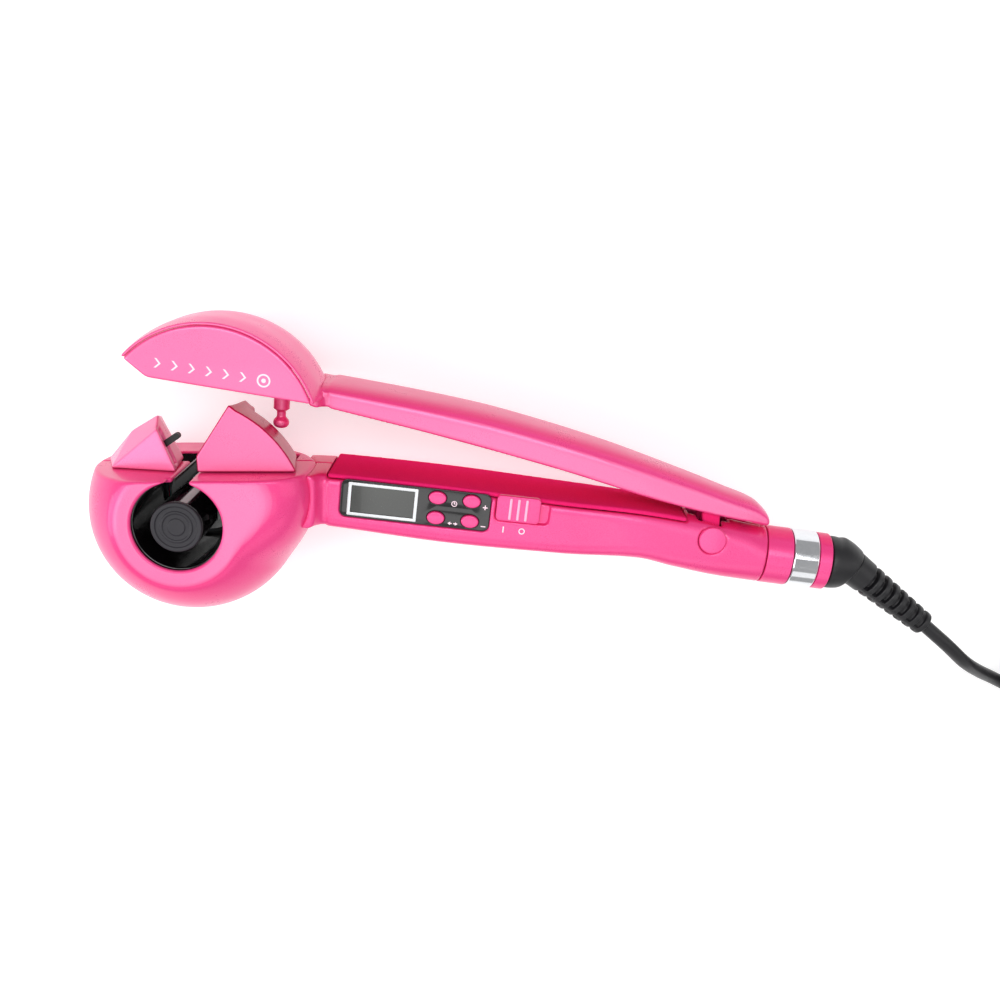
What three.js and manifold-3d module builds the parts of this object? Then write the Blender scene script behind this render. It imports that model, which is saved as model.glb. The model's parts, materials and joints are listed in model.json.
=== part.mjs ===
// Automatic hair curler, lying on its back, in millimetres.
// +X runs along the handle, +Y towards the jaw, +Z out of the chamber's mouth. The origin is on
// the chamber's axis, in the middle of the head's flat back face.
import * as THREE from 'three';
import Module from 'manifold-3d';
import { ConvexGeometry } from 'three/addons/geometries/ConvexGeometry.js';
import { mergeVertices } from 'three/addons/utils/BufferGeometryUtils.js';

const wasm = await Module();
wasm.setup();

// ---- Driving dimensions ----
const DEG = Math.PI / 180;
const GAP = 0.3; // left between pieces that touch or are cut from one another
const RUN = 0.06; // radial clearance of a running fit
const WALL = 2;
const MID = 33; // height of the parting plane of the head and both arms
const FAR = 400; // larger than anything it cuts

const head = { radius: 40.5, flat: 23.5, top: 17, shoulder: 49.5, square: 5, mouth: 16.6 };
const chamber = { bore: 16.2, wall: 1.4, floor: 17.2, front: 63.6, slot: [-2, 5.5] };
const barrel = { radius: 9.5, wall: 1.5, back: 20, front: 64.4 };
const gears = { module: 1, back: 11.8, width: 2.7, rotor: 28, idler: 16, pinion: 8 };
const motor = { x: 22.5, y: -14, radius: 7, back: 17.4, front: 42 };
const jaw = { x: 13, y: 33.3, radius: 41.5, wall: 1.6, front: 64, back: 2 };
const jawEdge = { corner: [-7.1, 54.4], slope: -9.6, clip: -41.7 }; // the open side and its clipped tip
const hinge = { x: 198.3, y: -11.4, pin: 2, knuckle: 4.6, cap: 5.3 };
const panel = { x: 85.6, y: 4.15, turn: -6.5, face: 51, length: 56, height: 14.4 };
const tail = { x: 231.8, y: -22, turn: -7.7, radius: 11.3 };
const boot = { start: [256.2, -26], tip: [288.9, -51.8], thick: 6.1, thin: 4.9 };
const cord = { radius: 2.75, low: 4 };
const coil = { x: 384, y: -78, inner: 22.6, outer: 39.4, back: 1.2, front: 17.7 };

// ---- Materials ----
const finish = (color, roughness, metalness = 0) =>
  new THREE.MeshStandardMaterial({ color, roughness, metalness });
const pink = () => finish(0xf0568f, 0.28);
const deepPink = () => finish(0xdb2f6f, 0.3);
const blackGloss = () => finish(0x141214, 0.12);
const blackRubber = () => finish(0x1c1c1e, 0.6);
const darkPlastic = () => finish(0x3b3b3e, 0.55);
const whitePlastic = () => finish(0xe6e3dd, 0.5);
const steel = () => finish(0xb9bcc0, 0.3, 1);
const chrome = () => finish(0xdfe2e6, 0.08, 1);
const brass = () => finish(0xc79b45, 0.3, 1);

// ---- Helpers ----
const part = new THREE.Group();

function add(name, geometry, material, parent = part) {
  const mesh = new THREE.Mesh(geometry, material);
  mesh.name = name;
  parent.add(mesh);
  return mesh;
}

function solid(geometry) {
  const bare = geometry.clone();
  bare.deleteAttribute('normal');
  bare.deleteAttribute('uv');
  const merged = mergeVertices(bare, 1e-4);
  return new wasm.Manifold(new wasm.Mesh({
    numProp: 3,
    vertProperties: new Float32Array(merged.attributes.position.array),
    triVerts: new Uint32Array(merged.index.array),
  }));
}

function surface(body) {
  const mesh = body.getMesh();
  const geometry = new THREE.BufferGeometry();
  geometry.setAttribute('position', new THREE.BufferAttribute(mesh.vertProperties, 3));
  geometry.setIndex(new THREE.BufferAttribute(mesh.triVerts, 1));
  geometry.computeVertexNormals();
  return geometry;
}

const join = (...bodies) => bodies.reduce((all, next) => all.add(next));
const cut = (body, ...tools) => tools.reduce((left, tool) => left.subtract(tool), body);

function block(x0, x1, y0, y1, z0, z1) {
  const box = new THREE.BoxGeometry(x1 - x0, y1 - y0, z1 - z0);
  box.translate((x0 + x1) / 2, (y0 + y1) / 2, (z0 + z1) / 2);
  return box;
}

const blockSolid = (...limits) => solid(block(...limits));

function rod(x, y, radius, z0, z1, sides = 24, endRadius = radius) {
  const cylinder = new THREE.CylinderGeometry(endRadius, radius, z1 - z0, sides);
  cylinder.rotateX(Math.PI / 2);
  cylinder.translate(x, y, (z0 + z1) / 2);
  return cylinder;
}

const rodSolid = (...sizes) => solid(rod(...sizes));

// A section of [radius, z] points, anticlockwise from its lowest inner point, turned about the
// upright line through (x, y).
function turnedUp(section, x, y, sides = 32) {
  const lathe = new THREE.LatheGeometry(section.map(([r, z]) => new THREE.Vector2(r, z)), sides);
  lathe.rotateX(Math.PI / 2);
  lathe.translate(x, y, 0);
  return lathe;
}

// A section of [x, radius] points, turned about the X axis.
function turned(section, sides = 32) {
  const lathe = new THREE.LatheGeometry(section.map(([x, r]) => new THREE.Vector2(r, x)), sides);
  lathe.rotateZ(-Math.PI / 2);
  return lathe;
}

function slab(points, z0, z1, holes = []) {
  const outline = new THREE.Shape(points.map(([x, y]) => new THREE.Vector2(x, y)));
  for (const hole of holes) {
    outline.holes.push(new THREE.Path(hole.map(([x, y]) => new THREE.Vector2(x, y))));
  }
  const geometry = new THREE.ExtrudeGeometry(outline, { depth: z1 - z0, bevelEnabled: false });
  geometry.translate(0, 0, z0);
  return geometry;
}

function roundedRectangle(x0, x1, y0, y1, radius, steps = 4) {
  const corners = [[x1 - radius, y1 - radius, 0], [x0 + radius, y1 - radius, 90],
    [x0 + radius, y0 + radius, 180], [x1 - radius, y0 + radius, 270]];
  return corners.flatMap(([cx, cy, from]) => Array.from({ length: steps + 1 }, (_, i) => {
    const angle = (from + (90 * i) / steps) * DEG;
    return [cx + radius * Math.cos(angle), cy + radius * Math.sin(angle)];
  }));
}

// A closed skin through rings of equal point counts, with a flat cap at each end.
function loft(rings) {
  const count = rings[0].length;
  const positions = rings.flat(2);
  const index = [];
  for (let r = 0; r < rings.length - 1; r += 1) {
    for (let k = 0; k < count; k += 1) {
      const a = r * count + k;
      const b = r * count + ((k + 1) % count);
      index.push(a, b, a + count, b, b + count, a + count);
    }
  }
  const last = (rings.length - 1) * count;
  for (let k = 1; k < count - 1; k += 1) {
    index.push(0, k + 1, k);
    index.push(last, last + k, last + k + 1);
  }
  const geometry = new THREE.BufferGeometry();
  geometry.setAttribute('position', new THREE.Float32BufferAttribute(positions, 3));
  geometry.setIndex(index);
  geometry.computeVertexNormals();
  return geometry;
}

// A smooth function through the given [x, value] points (cubic, with Catmull-Rom slopes).
function through(points) {
  const slope = (i) => {
    const before = points[Math.max(i - 1, 0)];
    const after = points[Math.min(i + 1, points.length - 1)];
    return (after[1] - before[1]) / (after[0] - before[0]);
  };
  return (x) => {
    let i = 0;
    while (i < points.length - 2 && x > points[i + 1][0]) i += 1;
    const [x0, y0] = points[i];
    const [x1, y1] = points[i + 1];
    const t = Math.min(Math.max((x - x0) / (x1 - x0), 0), 1);
    const width = x1 - x0;
    return y0 * (1 + 2 * t) * (1 - t) ** 2 + slope(i) * width * t * (1 - t) ** 2
      + y1 * t * t * (3 - 2 * t) - slope(i + 1) * width * t * t * (1 - t);
  };
}

const smooth = (t) => {
  const s = Math.min(Math.max(t, 0), 1);
  return s * s * (3 - 2 * s);
};

// ---- Head: a ball that grows a square shoulder on the side of the handle ----
function headSolid(inset = 0) {
  const around = 36;
  const levels = 13;
  const half = MID - inset;
  const shoulderAt = (angle) => smooth((angle + 35) / 56) * smooth((120 - angle) / 60);
  const rings = Array.from({ length: levels }, (_, i) => {
    const height = Math.sin((i / (levels - 1) - 0.5) * Math.PI);
    const forward = smooth((height + 0.75) / 0.9); // the shoulder is on the front half only
    return Array.from({ length: around }, (_unused, k) => {
      const turn = (360 * k) / around;
      const share = forward * shoulderAt(turn > 180 ? turn - 360 : turn);
      const reach = head.radius + (head.shoulder - head.radius) * share;
      const power = 2 + (head.square - 2) * share;
      const full = MID / (1 - (head.flat / reach) ** power) ** (1 / power);
      const radius = reach * (1 - (Math.abs(height * MID) / full) ** power) ** (1 / power) - inset;
      return [radius * Math.cos(turn * DEG), radius * Math.sin(turn * DEG), MID + half * height];
    });
  });
  return solid(loft(rings));
}

const below = (y) => blockSolid(-FAR, FAR, -FAR, y, -FAR, FAR);
const inFront = blockSolid(-FAR, FAR, -FAR, FAR, MID + GAP / 2, FAR);
const behind = blockSolid(-FAR, FAR, -FAR, FAR, -FAR, MID - GAP / 2);

const headOuter = headSolid().intersect(below(head.top));
const headInner = headSolid(WALL).intersect(below(head.top - WALL));
const headWall = cut(
  headOuter,
  headInner,
  blockSolid(...chamber.slot, 10, 18, 12, 70), // hair drops between the guides into the chamber
  rodSolid(0, 0, head.mouth, 60, 70, 40),
  blockSolid(22.2, 38, 14, 18, 22, 34), // the jaw's post comes down through the tooth
  blockSolid(40, 52, -1, 12, 22, 44), // the wires pass on to the handle
);
add('head_front_shell', surface(headWall.intersect(inFront)), pink());
const rearScrews = [[-16, -10], [12, -17], [-6, 12]];
const screwHead = { radius: 2.6, front: 1.6 };
const screwHoles = rearScrews.map(([x, y]) => rodSolid(x, y, screwHead.radius + GAP, -1, 2.5, 12));
add('head_rear_shell', surface(cut(headWall.intersect(behind), ...screwHoles)), pink());
rearScrews.forEach(([x, y], i) => {
  const screw = join(
    rodSolid(x, y, screwHead.radius, 0.4, screwHead.front, 12),
    rodSolid(x, y, 1.2, screwHead.front - 0.2, 9.6, 8),
  );
  add(`head_screw_${i + 1}`, surface(screw), steel());
});

// ---- Guides on the head's flat top: the tall tooth, and the wedge across the slot ----
function toothOutline(radius, peak, reduce) {
  const apex = [18.6 + reduce, peak - 1.4 * reduce];
  const from = Math.atan2(head.top + GAP, Math.sqrt(radius ** 2 - (head.top + GAP) ** 2));
  const to = Math.atan2(apex[1], apex[0] + 3.4);
  const steps = 8;
  const arc = Array.from({ length: steps + 1 }, (_, i) => {
    const angle = from + ((to - from) * i) / steps;
    return [(radius - reduce) * Math.cos(angle), (radius - reduce) * Math.sin(angle)];
  });
  const left = chamber.slot[1] + reduce;
  const dropped = 2 * reduce; // the core of the tooth runs out through its open foot
  arc[0][1] -= dropped;
  return [[left, head.top + GAP - dropped], ...arc, apex, [left, 23.4]];
}

function tooth(reduce, back, front) {
  const place = (outline, z) => outline.map(([x, y]) => [x, y, z]);
  const behindOutline = toothOutline(42.6, 39.4, reduce);
  const frontOutline = toothOutline(45.6, 42.6, reduce);
  return solid(loft([place(behindOutline, back), place(frontOutline, front)]));
}

const guideFront = 53;
const guideBack = 25;
const aboveTop = blockSolid(-FAR, FAR, head.top + GAP, FAR, -FAR, FAR);
const toothShell = cut(
  tooth(0, guideBack, guideFront).intersect(aboveTop),
  tooth(WALL, guideBack + WALL, guideFront - WALL),
  blockSolid(22.2, 41, head.top - 3, 60, 23.6, 33.4), // way in for the jaw's post
);
add('hair_guide_right', surface(toothShell), pink());

function wedge(reduce) {
  const base = head.top + GAP;
  const corners = [[-34.2, base, 31], [-28.6, base, 46], [-2.6, base, 52], [-4.9, base, 31],
    [-9, 32.9, 50.2], [-11.4, 36.2, 39], [-22.6, 29.6, 36], [-12.6, 34.4, 31]];
  const centre = new THREE.Vector3(-15.5, 25, 42);
  const points = corners.map((corner) => {
    const point = new THREE.Vector3(...corner).sub(centre);
    point.multiplyScalar(1 - reduce / 9).add(centre);
    return point;
  });
  return points;
}

const wedgeCore = wedge(WALL).map((point) => (point.y < 21 ? point.setY(head.top - 1) : point));
const finger = { x: -11, y: 24.2, tip: [-1.8, 30.3], back: 44.6, front: 47.4, pin: 1 };
const wedgeShell = cut(
  solid(new ConvexGeometry(wedge(0))),
  solid(new ConvexGeometry(wedgeCore)),
  blockSolid(-9.8, 1, 19, 33, finger.back - 0.4, finger.front + 0.4),
);
add('hair_guide_left', surface(wedgeShell), pink());

const fingerPin = rod(finger.x, finger.y, finger.pin, 41, 47.9, 16);
add('hair_finger_pin', fingerPin, steel());
const reach = Math.hypot(finger.tip[0] - finger.x, finger.tip[1] - finger.y);
const fingerBar = block(0, reach - 1.2, -1.2, 1.2, finger.back, finger.front);
fingerBar.rotateZ(Math.atan2(finger.tip[1] - finger.y, finger.tip[0] - finger.x));
fingerBar.translate(finger.x, finger.y, 0);
const fingerTip = rodSolid(finger.tip[0] - 1, finger.tip[1] - 0.7, 1.2, finger.back, finger.front, 16);
const fingerSolid = cut(
  join(rodSolid(finger.x, finger.y, 2.2, finger.back, finger.front, 20), solid(fingerBar), fingerTip),
  rodSolid(finger.x, finger.y, finger.pin + RUN, 40, 50, 16),
);
add('hair_finger', surface(fingerSolid), blackRubber());

// ---- Curling chamber ----
const linerOuter = chamber.bore + chamber.wall;
const liner = cut(
  rodSolid(0, 0, linerOuter, chamber.floor, chamber.front, 40),
  rodSolid(0, 0, chamber.bore, chamber.floor - 1, chamber.front + 1, 40),
  blockSolid(-FAR, FAR, head.top - WALL - GAP, FAR, -FAR, FAR),
);
add('chamber_liner', surface(liner), blackGloss());

const heaterBarrel = cut(
  rodSolid(0, 0, barrel.radius, barrel.back, barrel.front, 32),
  rodSolid(0, 0, barrel.radius - barrel.wall, barrel.back - 1, barrel.front + 1, 32),
);
add('heater_barrel', surface(heaterBarrel), blackGloss());
const capSection = [[0, 64.7], [9.4, 64.7], [9.4, 65.5], [8.9, 66], [7.8, 66], [7.4, 65.6],
  [6, 65.6], [5.6, 66], [5, 66], [4.6, 65.6], [3, 65.6], [2.6, 66], [0, 66]];
add('barrel_end_cap', turnedUp(capSection, 0, 0), darkPlastic());
add('heating_element', block(-6, 6, -2, 2, 27, 60), whitePlastic());
add('thermal_fuse', rod(0, 4.4, 1.3, 30, 42, 10), whitePlastic());
const stemRadius = 6;
const stemPlug = join(
  rodSolid(0, 0, stemRadius, 2.4, barrel.back + 0.2, 32),
  rodSolid(0, 0, barrel.radius - barrel.wall - GAP - 0.1, barrel.back, 25, 24),
);
const wireWay = rodSolid(0, 0, 2, 1, 26, 12);
add('barrel_stem', surface(cut(stemPlug, wireWay)), darkPlastic());

// The rotor's disc turns between the liner's floor edge and the barrel, with a hook that
// winds the hair round the barrel.
const hubBore = stemRadius + RUN + 0.03; // the last part allows for the flats of the faceted bore
const hook = 50;
const rotor = cut(
  join(
    rodSolid(0, 0, 8.6, gears.back + gears.width + GAP, 18.4, 32),
    rodSolid(0, 0, 14.6, 17.6, 19.2, 32),
    blockSolid(11.3, 14.2, -1.6, 1.6, 19, hook),
  ),
  rodSolid(0, 0, hubBore, 10, 21, 32),
);
add('rotor', surface(rotor), blackGloss());

// ---- Gear train behind the chamber ----
const gearRadius = (teeth) => (teeth * gears.module) / 2;
const motorAngle = Math.atan2(motor.y, motor.x);
const motorReach = Math.hypot(motor.x, motor.y);
const farMesh = gearRadius(gears.rotor) + gearRadius(gears.idler);
const nearMesh = gearRadius(gears.idler) + gearRadius(gears.pinion);
const foot = (farMesh ** 2 - nearMesh ** 2 + motorReach ** 2) / (2 * motorReach);
const idlerAngle = motorAngle + Math.acos(foot / farMesh);
const idler = { x: farMesh * Math.cos(idlerAngle), y: farMesh * Math.sin(idlerAngle) };

// The angle of one tooth of a gear at `to`, so that it meshes with the gear at `from`.
function meshPhase(from, fromTeeth, fromPhase, to, teeth) {
  const line = Math.atan2(to.y - from.y, to.x - from.x);
  const offset = (line - fromPhase) / ((2 * Math.PI) / fromTeeth);
  return line + Math.PI - (0.5 - offset) * ((2 * Math.PI) / teeth);
}

function gear(centre, teeth, phase, bore) {
  const pitch = (2 * Math.PI) / teeth;
  const root = gearRadius(teeth) - 1.15 * gears.module;
  const tip = gearRadius(teeth) + 0.75 * gears.module;
  const corners = [[root, -0.25], [tip, -0.1], [tip, 0.1], [root, 0.25]];
  const outline = Array.from({ length: teeth }, (_, i) => corners.map(([radius, share]) => {
    const angle = phase + (i + share) * pitch;
    return [centre.x + radius * Math.cos(angle), centre.y + radius * Math.sin(angle)];
  })).flat();
  const boreSides = 20;
  const hole = Array.from({ length: boreSides }, (_, i) => {
    const angle = (-i / boreSides) * 2 * Math.PI;
    return [centre.x + bore * Math.cos(angle), centre.y + bore * Math.sin(angle)];
  });
  return slab(outline, gears.back, gears.back + gears.width, [hole]);
}

const axle = 1.5;
const idlerPhase = meshPhase({ x: 0, y: 0 }, gears.rotor, 0, idler, gears.idler);
const pinionPhase = meshPhase(idler, gears.idler, idlerPhase, motor, gears.pinion);
add('rotor_gear', gear({ x: 0, y: 0 }, gears.rotor, 0, hubBore + 0.06), whitePlastic());
add('idler_gear', gear(idler, gears.idler, idlerPhase, axle + RUN + 0.03), whitePlastic());
const shaft = { radius: 1, back: 10.4 };
add('motor_pinion', gear(motor, gears.pinion, pinionPhase, shaft.radius + 0.05), brass());
add('idler_axle', rod(idler.x, idler.y, axle, 6.4, 17.2, 20), steel());
const motorCan = rodSolid(motor.x, motor.y, motor.radius, motor.back, motor.front, 24);
add('motor', surface(join(motorCan, rodSolid(motor.x, motor.y, 2.4, 42, 43.6, 16))), steel());
add('motor_shaft', rod(motor.x, motor.y, shaft.radius, shaft.back, motor.back - GAP, 16), steel());

const plateOutline = [[-4, -17], [8, -22.5], [24.5, -19.5], [31, -10], [31, 6], [10, 14], [-8, 14],
  [-16, 6], [-16, -8]];
const gearPlate = cut(
  solid(slab(plateOutline, 14.8, 16.6)),
  rodSolid(0, 0, 9.2, 10, 20, 32),
  rodSolid(idler.x, idler.y, axle + 0.05, 10, 20, 20),
  rodSolid(motor.x, motor.y, 2.6, 10, 20, 16),
);
add('gear_plate', surface(gearPlate), darkPlastic());

// ---- Jaw switch: the jaw's post comes down to its plunger ----
const press = { x: 28.2, z: 28.6, top: 2.6 };
add('jaw_switch', surface(cut(
  blockSolid(22.4, 34, -6.2, 0, 24, 32),
  blockSolid(press.x - 1.6, press.x + 1.6, -2.4, 1, press.z - 1.6, press.z + 1.6),
)), blackRubber());
const plunger = block(press.x - 1.3, press.x + 1.3, -1.2, press.top, press.z - 1.3, press.z + 1.3);
add('jaw_switch_plunger', plunger, whitePlastic());

// ---- Arms: a rounded section swept along X between a top and a bottom line ----
const STEP = 15;
function armSolid(line, from, to, inset = 0) {
  const count = Math.round((to - from) / STEP);
  const around = 24;
  const rings = Array.from({ length: count + 1 }, (_, i) => {
    const x = from + ((to - from) * i) / count;
    const middle = (line.top(x) + line.bottom(x)) / 2;
    const high = (line.top(x) - line.bottom(x)) / 2 - inset;
    const deep = line.depth(x) - inset;
    return Array.from({ length: around }, (_unused, k) => {
      const angle = ((k + 0.5) / around) * 2 * Math.PI;
      const power = 2 / (Math.cos(angle) > 0 ? line.power(x) : line.powerBelow(x));
      const bend = (value) => Math.sign(value) * Math.abs(value) ** power;
      return [x, middle + high * bend(Math.cos(angle)), MID + deep * bend(Math.sin(angle))];
    });
  });
  return solid(loft(rings));
}

// A strip that follows one line of an arm, from `low` to `high` above it.
function strip(line, from, to, low, high, margin) {
  const count = Math.round((to - from) / STEP);
  const rings = Array.from({ length: count + 1 }, (_, i) => {
    const x = from + ((to - from) * i) / count;
    const y = line.edge(x);
    const deep = line.depth(x) - margin;
    const corners = [[high, -deep], [high, deep], [low, deep], [low, -deep]];
    return corners.map(([rise, side]) => [x, y + rise, MID + side]);
  });
  return solid(loft(rings));
}

const lower = {
  from: 30,
  to: 218.4,
  top: through([[30, 17], [44, 17], [54, 16.4], [96, 11.7], [140, 5.6], [170, 1.5], [192, -2.9],
    [219, -9]]),
  bottom: through([[38, -4.4], [50, -5.2], [96, -11.9], [140, -16.4], [170, -19.4], [184, -23.6],
    [200, -28], [219, -31.6]]),
  depth: through([[38, 17], [56, 18], [138, 18], [170, 15.8], [196, 12.9], [219, tail.radius]]),
  power: through([[30, 6], [138, 6], [170, 4], [200, 2.6], [219, 2]]),
};
lower.powerBelow = lower.power;
lower.edge = lower.top;
const upper = {
  from: 47.6,
  to: 221.2,
  top: through([[44, 50.8], [64, 47.4], [94, 41.7], [117, 36.4], [156, 24.6], [187, 13.2],
    [205, 6], [216, 1.4], [221.4, -3.6]]),
  bottom: through([[44, 42.6], [64, 37.4], [94, 29.5], [140, 16.1], [171, 5.7], [187, 0.9],
    [203, -3.4], [221.4, -8.2]]),
  depth: through([[44, 16.6], [80, 16.6], [140, 15.6], [187, 12.6], [210, 10.4], [221.4, 7.4]]),
  power: through([[44, 3.4], [187, 2.8], [219, 2.4]]),
  powerBelow: through([[44, 8], [187, 8], [221.4, 3]]),
};
upper.edge = upper.bottom;

const placeTail = (body) => body.rotate([0, 0, tail.turn]).translate([tail.x, tail.y, MID]);
const tailStart = -11.9;
const beyondArms = placeTail(blockSolid(tailStart - GAP, FAR, -FAR, FAR, -FAR, FAR));
const headRoom = headSolid(-GAP).intersect(below(head.top + 4));
const lowerOuter = cut(armSolid(lower, lower.from, lower.to), headRoom, beyondArms);
const lowerInner = armSolid(lower, lower.from - 4, lower.to - 2 * WALL, WALL);
const coverFrom = 55;
const coverTo = 183;
const coverSeat = strip(lower, coverFrom - GAP, coverTo + GAP, -2.4, 4, 2.2);
const pinHoles = rodSolid(hinge.x, hinge.y, hinge.pin + 0.05, 0, 80, 20);
const bosses = cut(
  join(
    rodSolid(hinge.x, hinge.y, 4.6, 20.6, 24.2, 20),
    rodSolid(hinge.x, hinge.y, 4.6, 41.8, 45.4, 20),
  ).intersect(lowerOuter),
  pinHoles,
);
const capSeats = join(
  rodSolid(hinge.x, hinge.y, hinge.cap + GAP, 44.4, 60, 24),
  rodSolid(hinge.x, hinge.y, hinge.cap + GAP, 0, 21.6, 24),
);
const knuckleWay = blockSolid(190, 205.6, -12, 6, 24.2, 41.8);

// The panel's own frame: its parts are placed in it, and its pockets are cut from the handle.
const panelFrame = new THREE.Group();
panelFrame.position.set(panel.x, panel.y, 0);
panelFrame.rotation.z = panel.turn * DEG;
part.add(panelFrame);
const fromPanel = (body) => body.rotate([0, 0, panel.turn]).translate([panel.x, panel.y, 0]);
const buttonPlaces = [
  ['mode', 8, 3.9], ['plus', 20.8, 3.9],
  ['timer', 8, -3.9], ['minus', 20.8, -3.9],
];
const button = { long: 3.3, wide: 2.45, top: 52, bottom: 47.6 };
const display = { x: -12.3, y: 0, long: 13, high: 6.35 };
const knob = { x: 38.4, y: 2.9, long: 8.2, high: 4.9, travel: 3.4, top: 52.4 };

const ellipse = (x, y, long, wide, sides = 20) => Array.from({ length: sides }, (_, i) => {
  const angle = (i / sides) * 2 * Math.PI;
  return [x + long * Math.cos(angle), y + wide * Math.sin(angle)];
});
const halfLong = panel.length / 2;
const halfHigh = panel.height / 2;
const pocketLong = halfLong + GAP;
const pocketHigh = halfHigh + GAP;
const panelPocket = solid(slab(
  roundedRectangle(-pocketLong, pocketLong, -pocketHigh, pocketHigh, 2.4), panel.face - 1.4, 60));
const buttonWells = buttonPlaces.map(([, x, y]) => solid(slab(
  ellipse(x, y, button.long + 0.5, button.wide + 0.5), 46, 60)));
const displayWell = blockSolid(display.x - 10, display.x + 10, -4.4, 4.4, 46, 60);
const knobWell = solid(slab(roundedRectangle(
  knob.x - knob.long - GAP, knob.x + knob.long + knob.travel + GAP,
  knob.y - knob.high - GAP, knob.y + knob.high + GAP, 1.6), panel.face - 1.4, 60));
const knobSlot = blockSolid(knob.x - 4, knob.x + 4 + knob.travel, knob.y - 1.6, knob.y + 1.6, 46, 60);
const panelCuts = [panelPocket, ...buttonWells, displayWell, knobWell, knobSlot].map(fromPanel);

const lowerWall = cut(lowerOuter, lowerInner, coverSeat);
const lowerShell = cut(join(lowerWall, bosses), knuckleWay, capSeats, pinHoles);
const frontHandle = cut(lowerShell.intersect(inFront), ...panelCuts);
add('lower_handle_front_shell', surface(frontHandle), pink());
add('lower_handle_rear_shell', surface(lowerShell.intersect(behind)), pink());
const cover = strip(lower, coverFrom, coverTo, -2.1, -0.3, 2.5);
add('lower_handle_inner_cover', surface(cover), deepPink());

// ---- Display, buttons and power switch ----
const fascia = slab(
  roundedRectangle(-halfLong, halfLong, -halfHigh, halfHigh, 2.2),
  panel.face - 1.1,
  panel.face + 0.15,
  [
    ...buttonPlaces.map(([, x, y]) => ellipse(x, y, button.long + 0.2, button.wide + 0.2).reverse()),
    roundedRectangle(display.x - 12, display.x + 12, -5.35, 5.35, 0.4, 1).reverse(),
  ],
);
add('display_panel', fascia, blackGloss(), panelFrame);
add('lcd_frame', slab(
  roundedRectangle(display.x - display.long, display.x + display.long, -display.high, display.high, 0.3, 1),
  panel.face + 0.2,
  panel.face + 0.5,
  [roundedRectangle(display.x - 11.6, display.x + 11.6, -5, 5, 0.3, 1).reverse()],
), steel(), panelFrame);
const glass = block(display.x - 11.4, display.x + 11.4, -4.8, 4.8, panel.face - 0.9, panel.face + 0.3);
add('lcd_glass', glass, finish(0x7d8478, 0.15), panelFrame);
buttonPlaces.forEach(([name, x, y]) => {
  const key = slab(ellipse(x, y, button.long, button.wide), button.bottom, button.top);
  add(`button_${name}`, key, pink(), panelFrame);
});
const ridges = [-3, 0, 3].map((x) => blockSolid(
  knob.x + x - 0.5, knob.x + x + 0.5, knob.y - 4, knob.y + 4, knob.top - 0.1, knob.top + 0.5));
const knobOutline = roundedRectangle(
  knob.x - knob.long, knob.x + knob.long, knob.y - knob.high, knob.y + knob.high, 1.4);
const knobPlate = solid(slab(knobOutline, panel.face - 1.1, knob.top));
const knobStem = blockSolid(knob.x - 3.5, knob.x + 3.5, knob.y - 1.3, knob.y + 1.3, 46.9, panel.face - 1);
add('power_switch_knob', surface(join(knobPlate, knobStem, ...ridges)), pink(), panelFrame);
const switchBody = block(knob.x - 8, knob.x + 8, knob.y - 7, knob.y + 0.6, 40, 46.6);
add('power_switch_body', switchBody, blackRubber(), panelFrame);
const board = join(
  blockSolid(-26, 28, -6.6, 4.9, 42.8, 44.4),
  ...buttonPlaces.map(([, x, y]) => blockSolid(x - 2.5, x + 2.5, y - 2, y + 1, 44.2, 46.4)),
  blockSolid(-20, -8, -4.4, 4.4, 44.2, 45.6),
);
add('control_board', surface(board), finish(0x1f6b3f, 0.5), panelFrame);

// ---- Jaw: a drum cut by a chord, closed by a flat face plate ----
function drum(inset) {
  const edge = jaw.radius - inset;
  const section = [[0, jaw.back + inset], [edge - 14, jaw.back + inset], [edge - 9.8, 6],
    [edge - 5.6, 13], [edge - 2.6, 21], [edge - 0.3, MID], [edge, 45], [edge - 0.1, 54],
    [edge - 0.9, jaw.front - 0.6 - inset], [edge - 1.4, jaw.front - inset], [0, jaw.front - inset]];
  return solid(turnedUp(section, jaw.x, jaw.y, 56));
}

// Everything above the jaw's open edge, less the clipped corner at its tip.
function aboveChord(lift) {
  const half = blockSolid(-FAR, FAR, lift, FAR, -FAR, FAR).rotate([0, 0, jawEdge.slope]);
  const tip = blockSolid(-FAR, FAR, lift, FAR, -FAR, FAR).rotate([0, 0, jawEdge.clip]);
  return half.translate([...jawEdge.corner, 0]).intersect(tip.translate([...jawEdge.corner, 0]));
}

const facePlate = 2;
const faceRecess = rodSolid(jaw.x, jaw.y, jaw.radius - 2.2, jaw.front - facePlate - GAP, 80, 56);
const jawShell = cut(drum(0).intersect(aboveChord(0)), drum(jaw.wall), faceRecess);
add('jaw_shell', surface(jawShell), pink());
const face = rodSolid(jaw.x, jaw.y, jaw.radius - 2.2 - GAP, jaw.front - facePlate, jaw.front, 56);
add('jaw_face_plate', surface(face.intersect(aboveChord(0))), pink());

const post = { x: 32.6, foot: 29.2, top: 66, wide: 3.2 };
const postOutline = [[-post.wide, 36], [-2, 33.4], [-2, 31.6], [-3.4, 30.6], [-3.2, post.foot],
  [3.2, post.foot], [3.4, 30.6], [2, 31.6], [2, 33.4], [post.wide, 36], [post.wide, post.top],
  [1, post.top], [1, 35.4], [-1, 35.4], [-1, post.top - 4], [-post.wide, post.top - 4]];
const postSlab = slab(postOutline.map(([x, y]) => [x, y - post.foot]), press.z - 2, press.z + 2.4);
const postSolid = solid(postSlab).rotate([0, 0, jawEdge.slope / 2]).translate([post.x, post.foot, 0]);
add('jaw_post', surface(postSolid.intersect(drum(jaw.wall + GAP))), pink());

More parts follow.
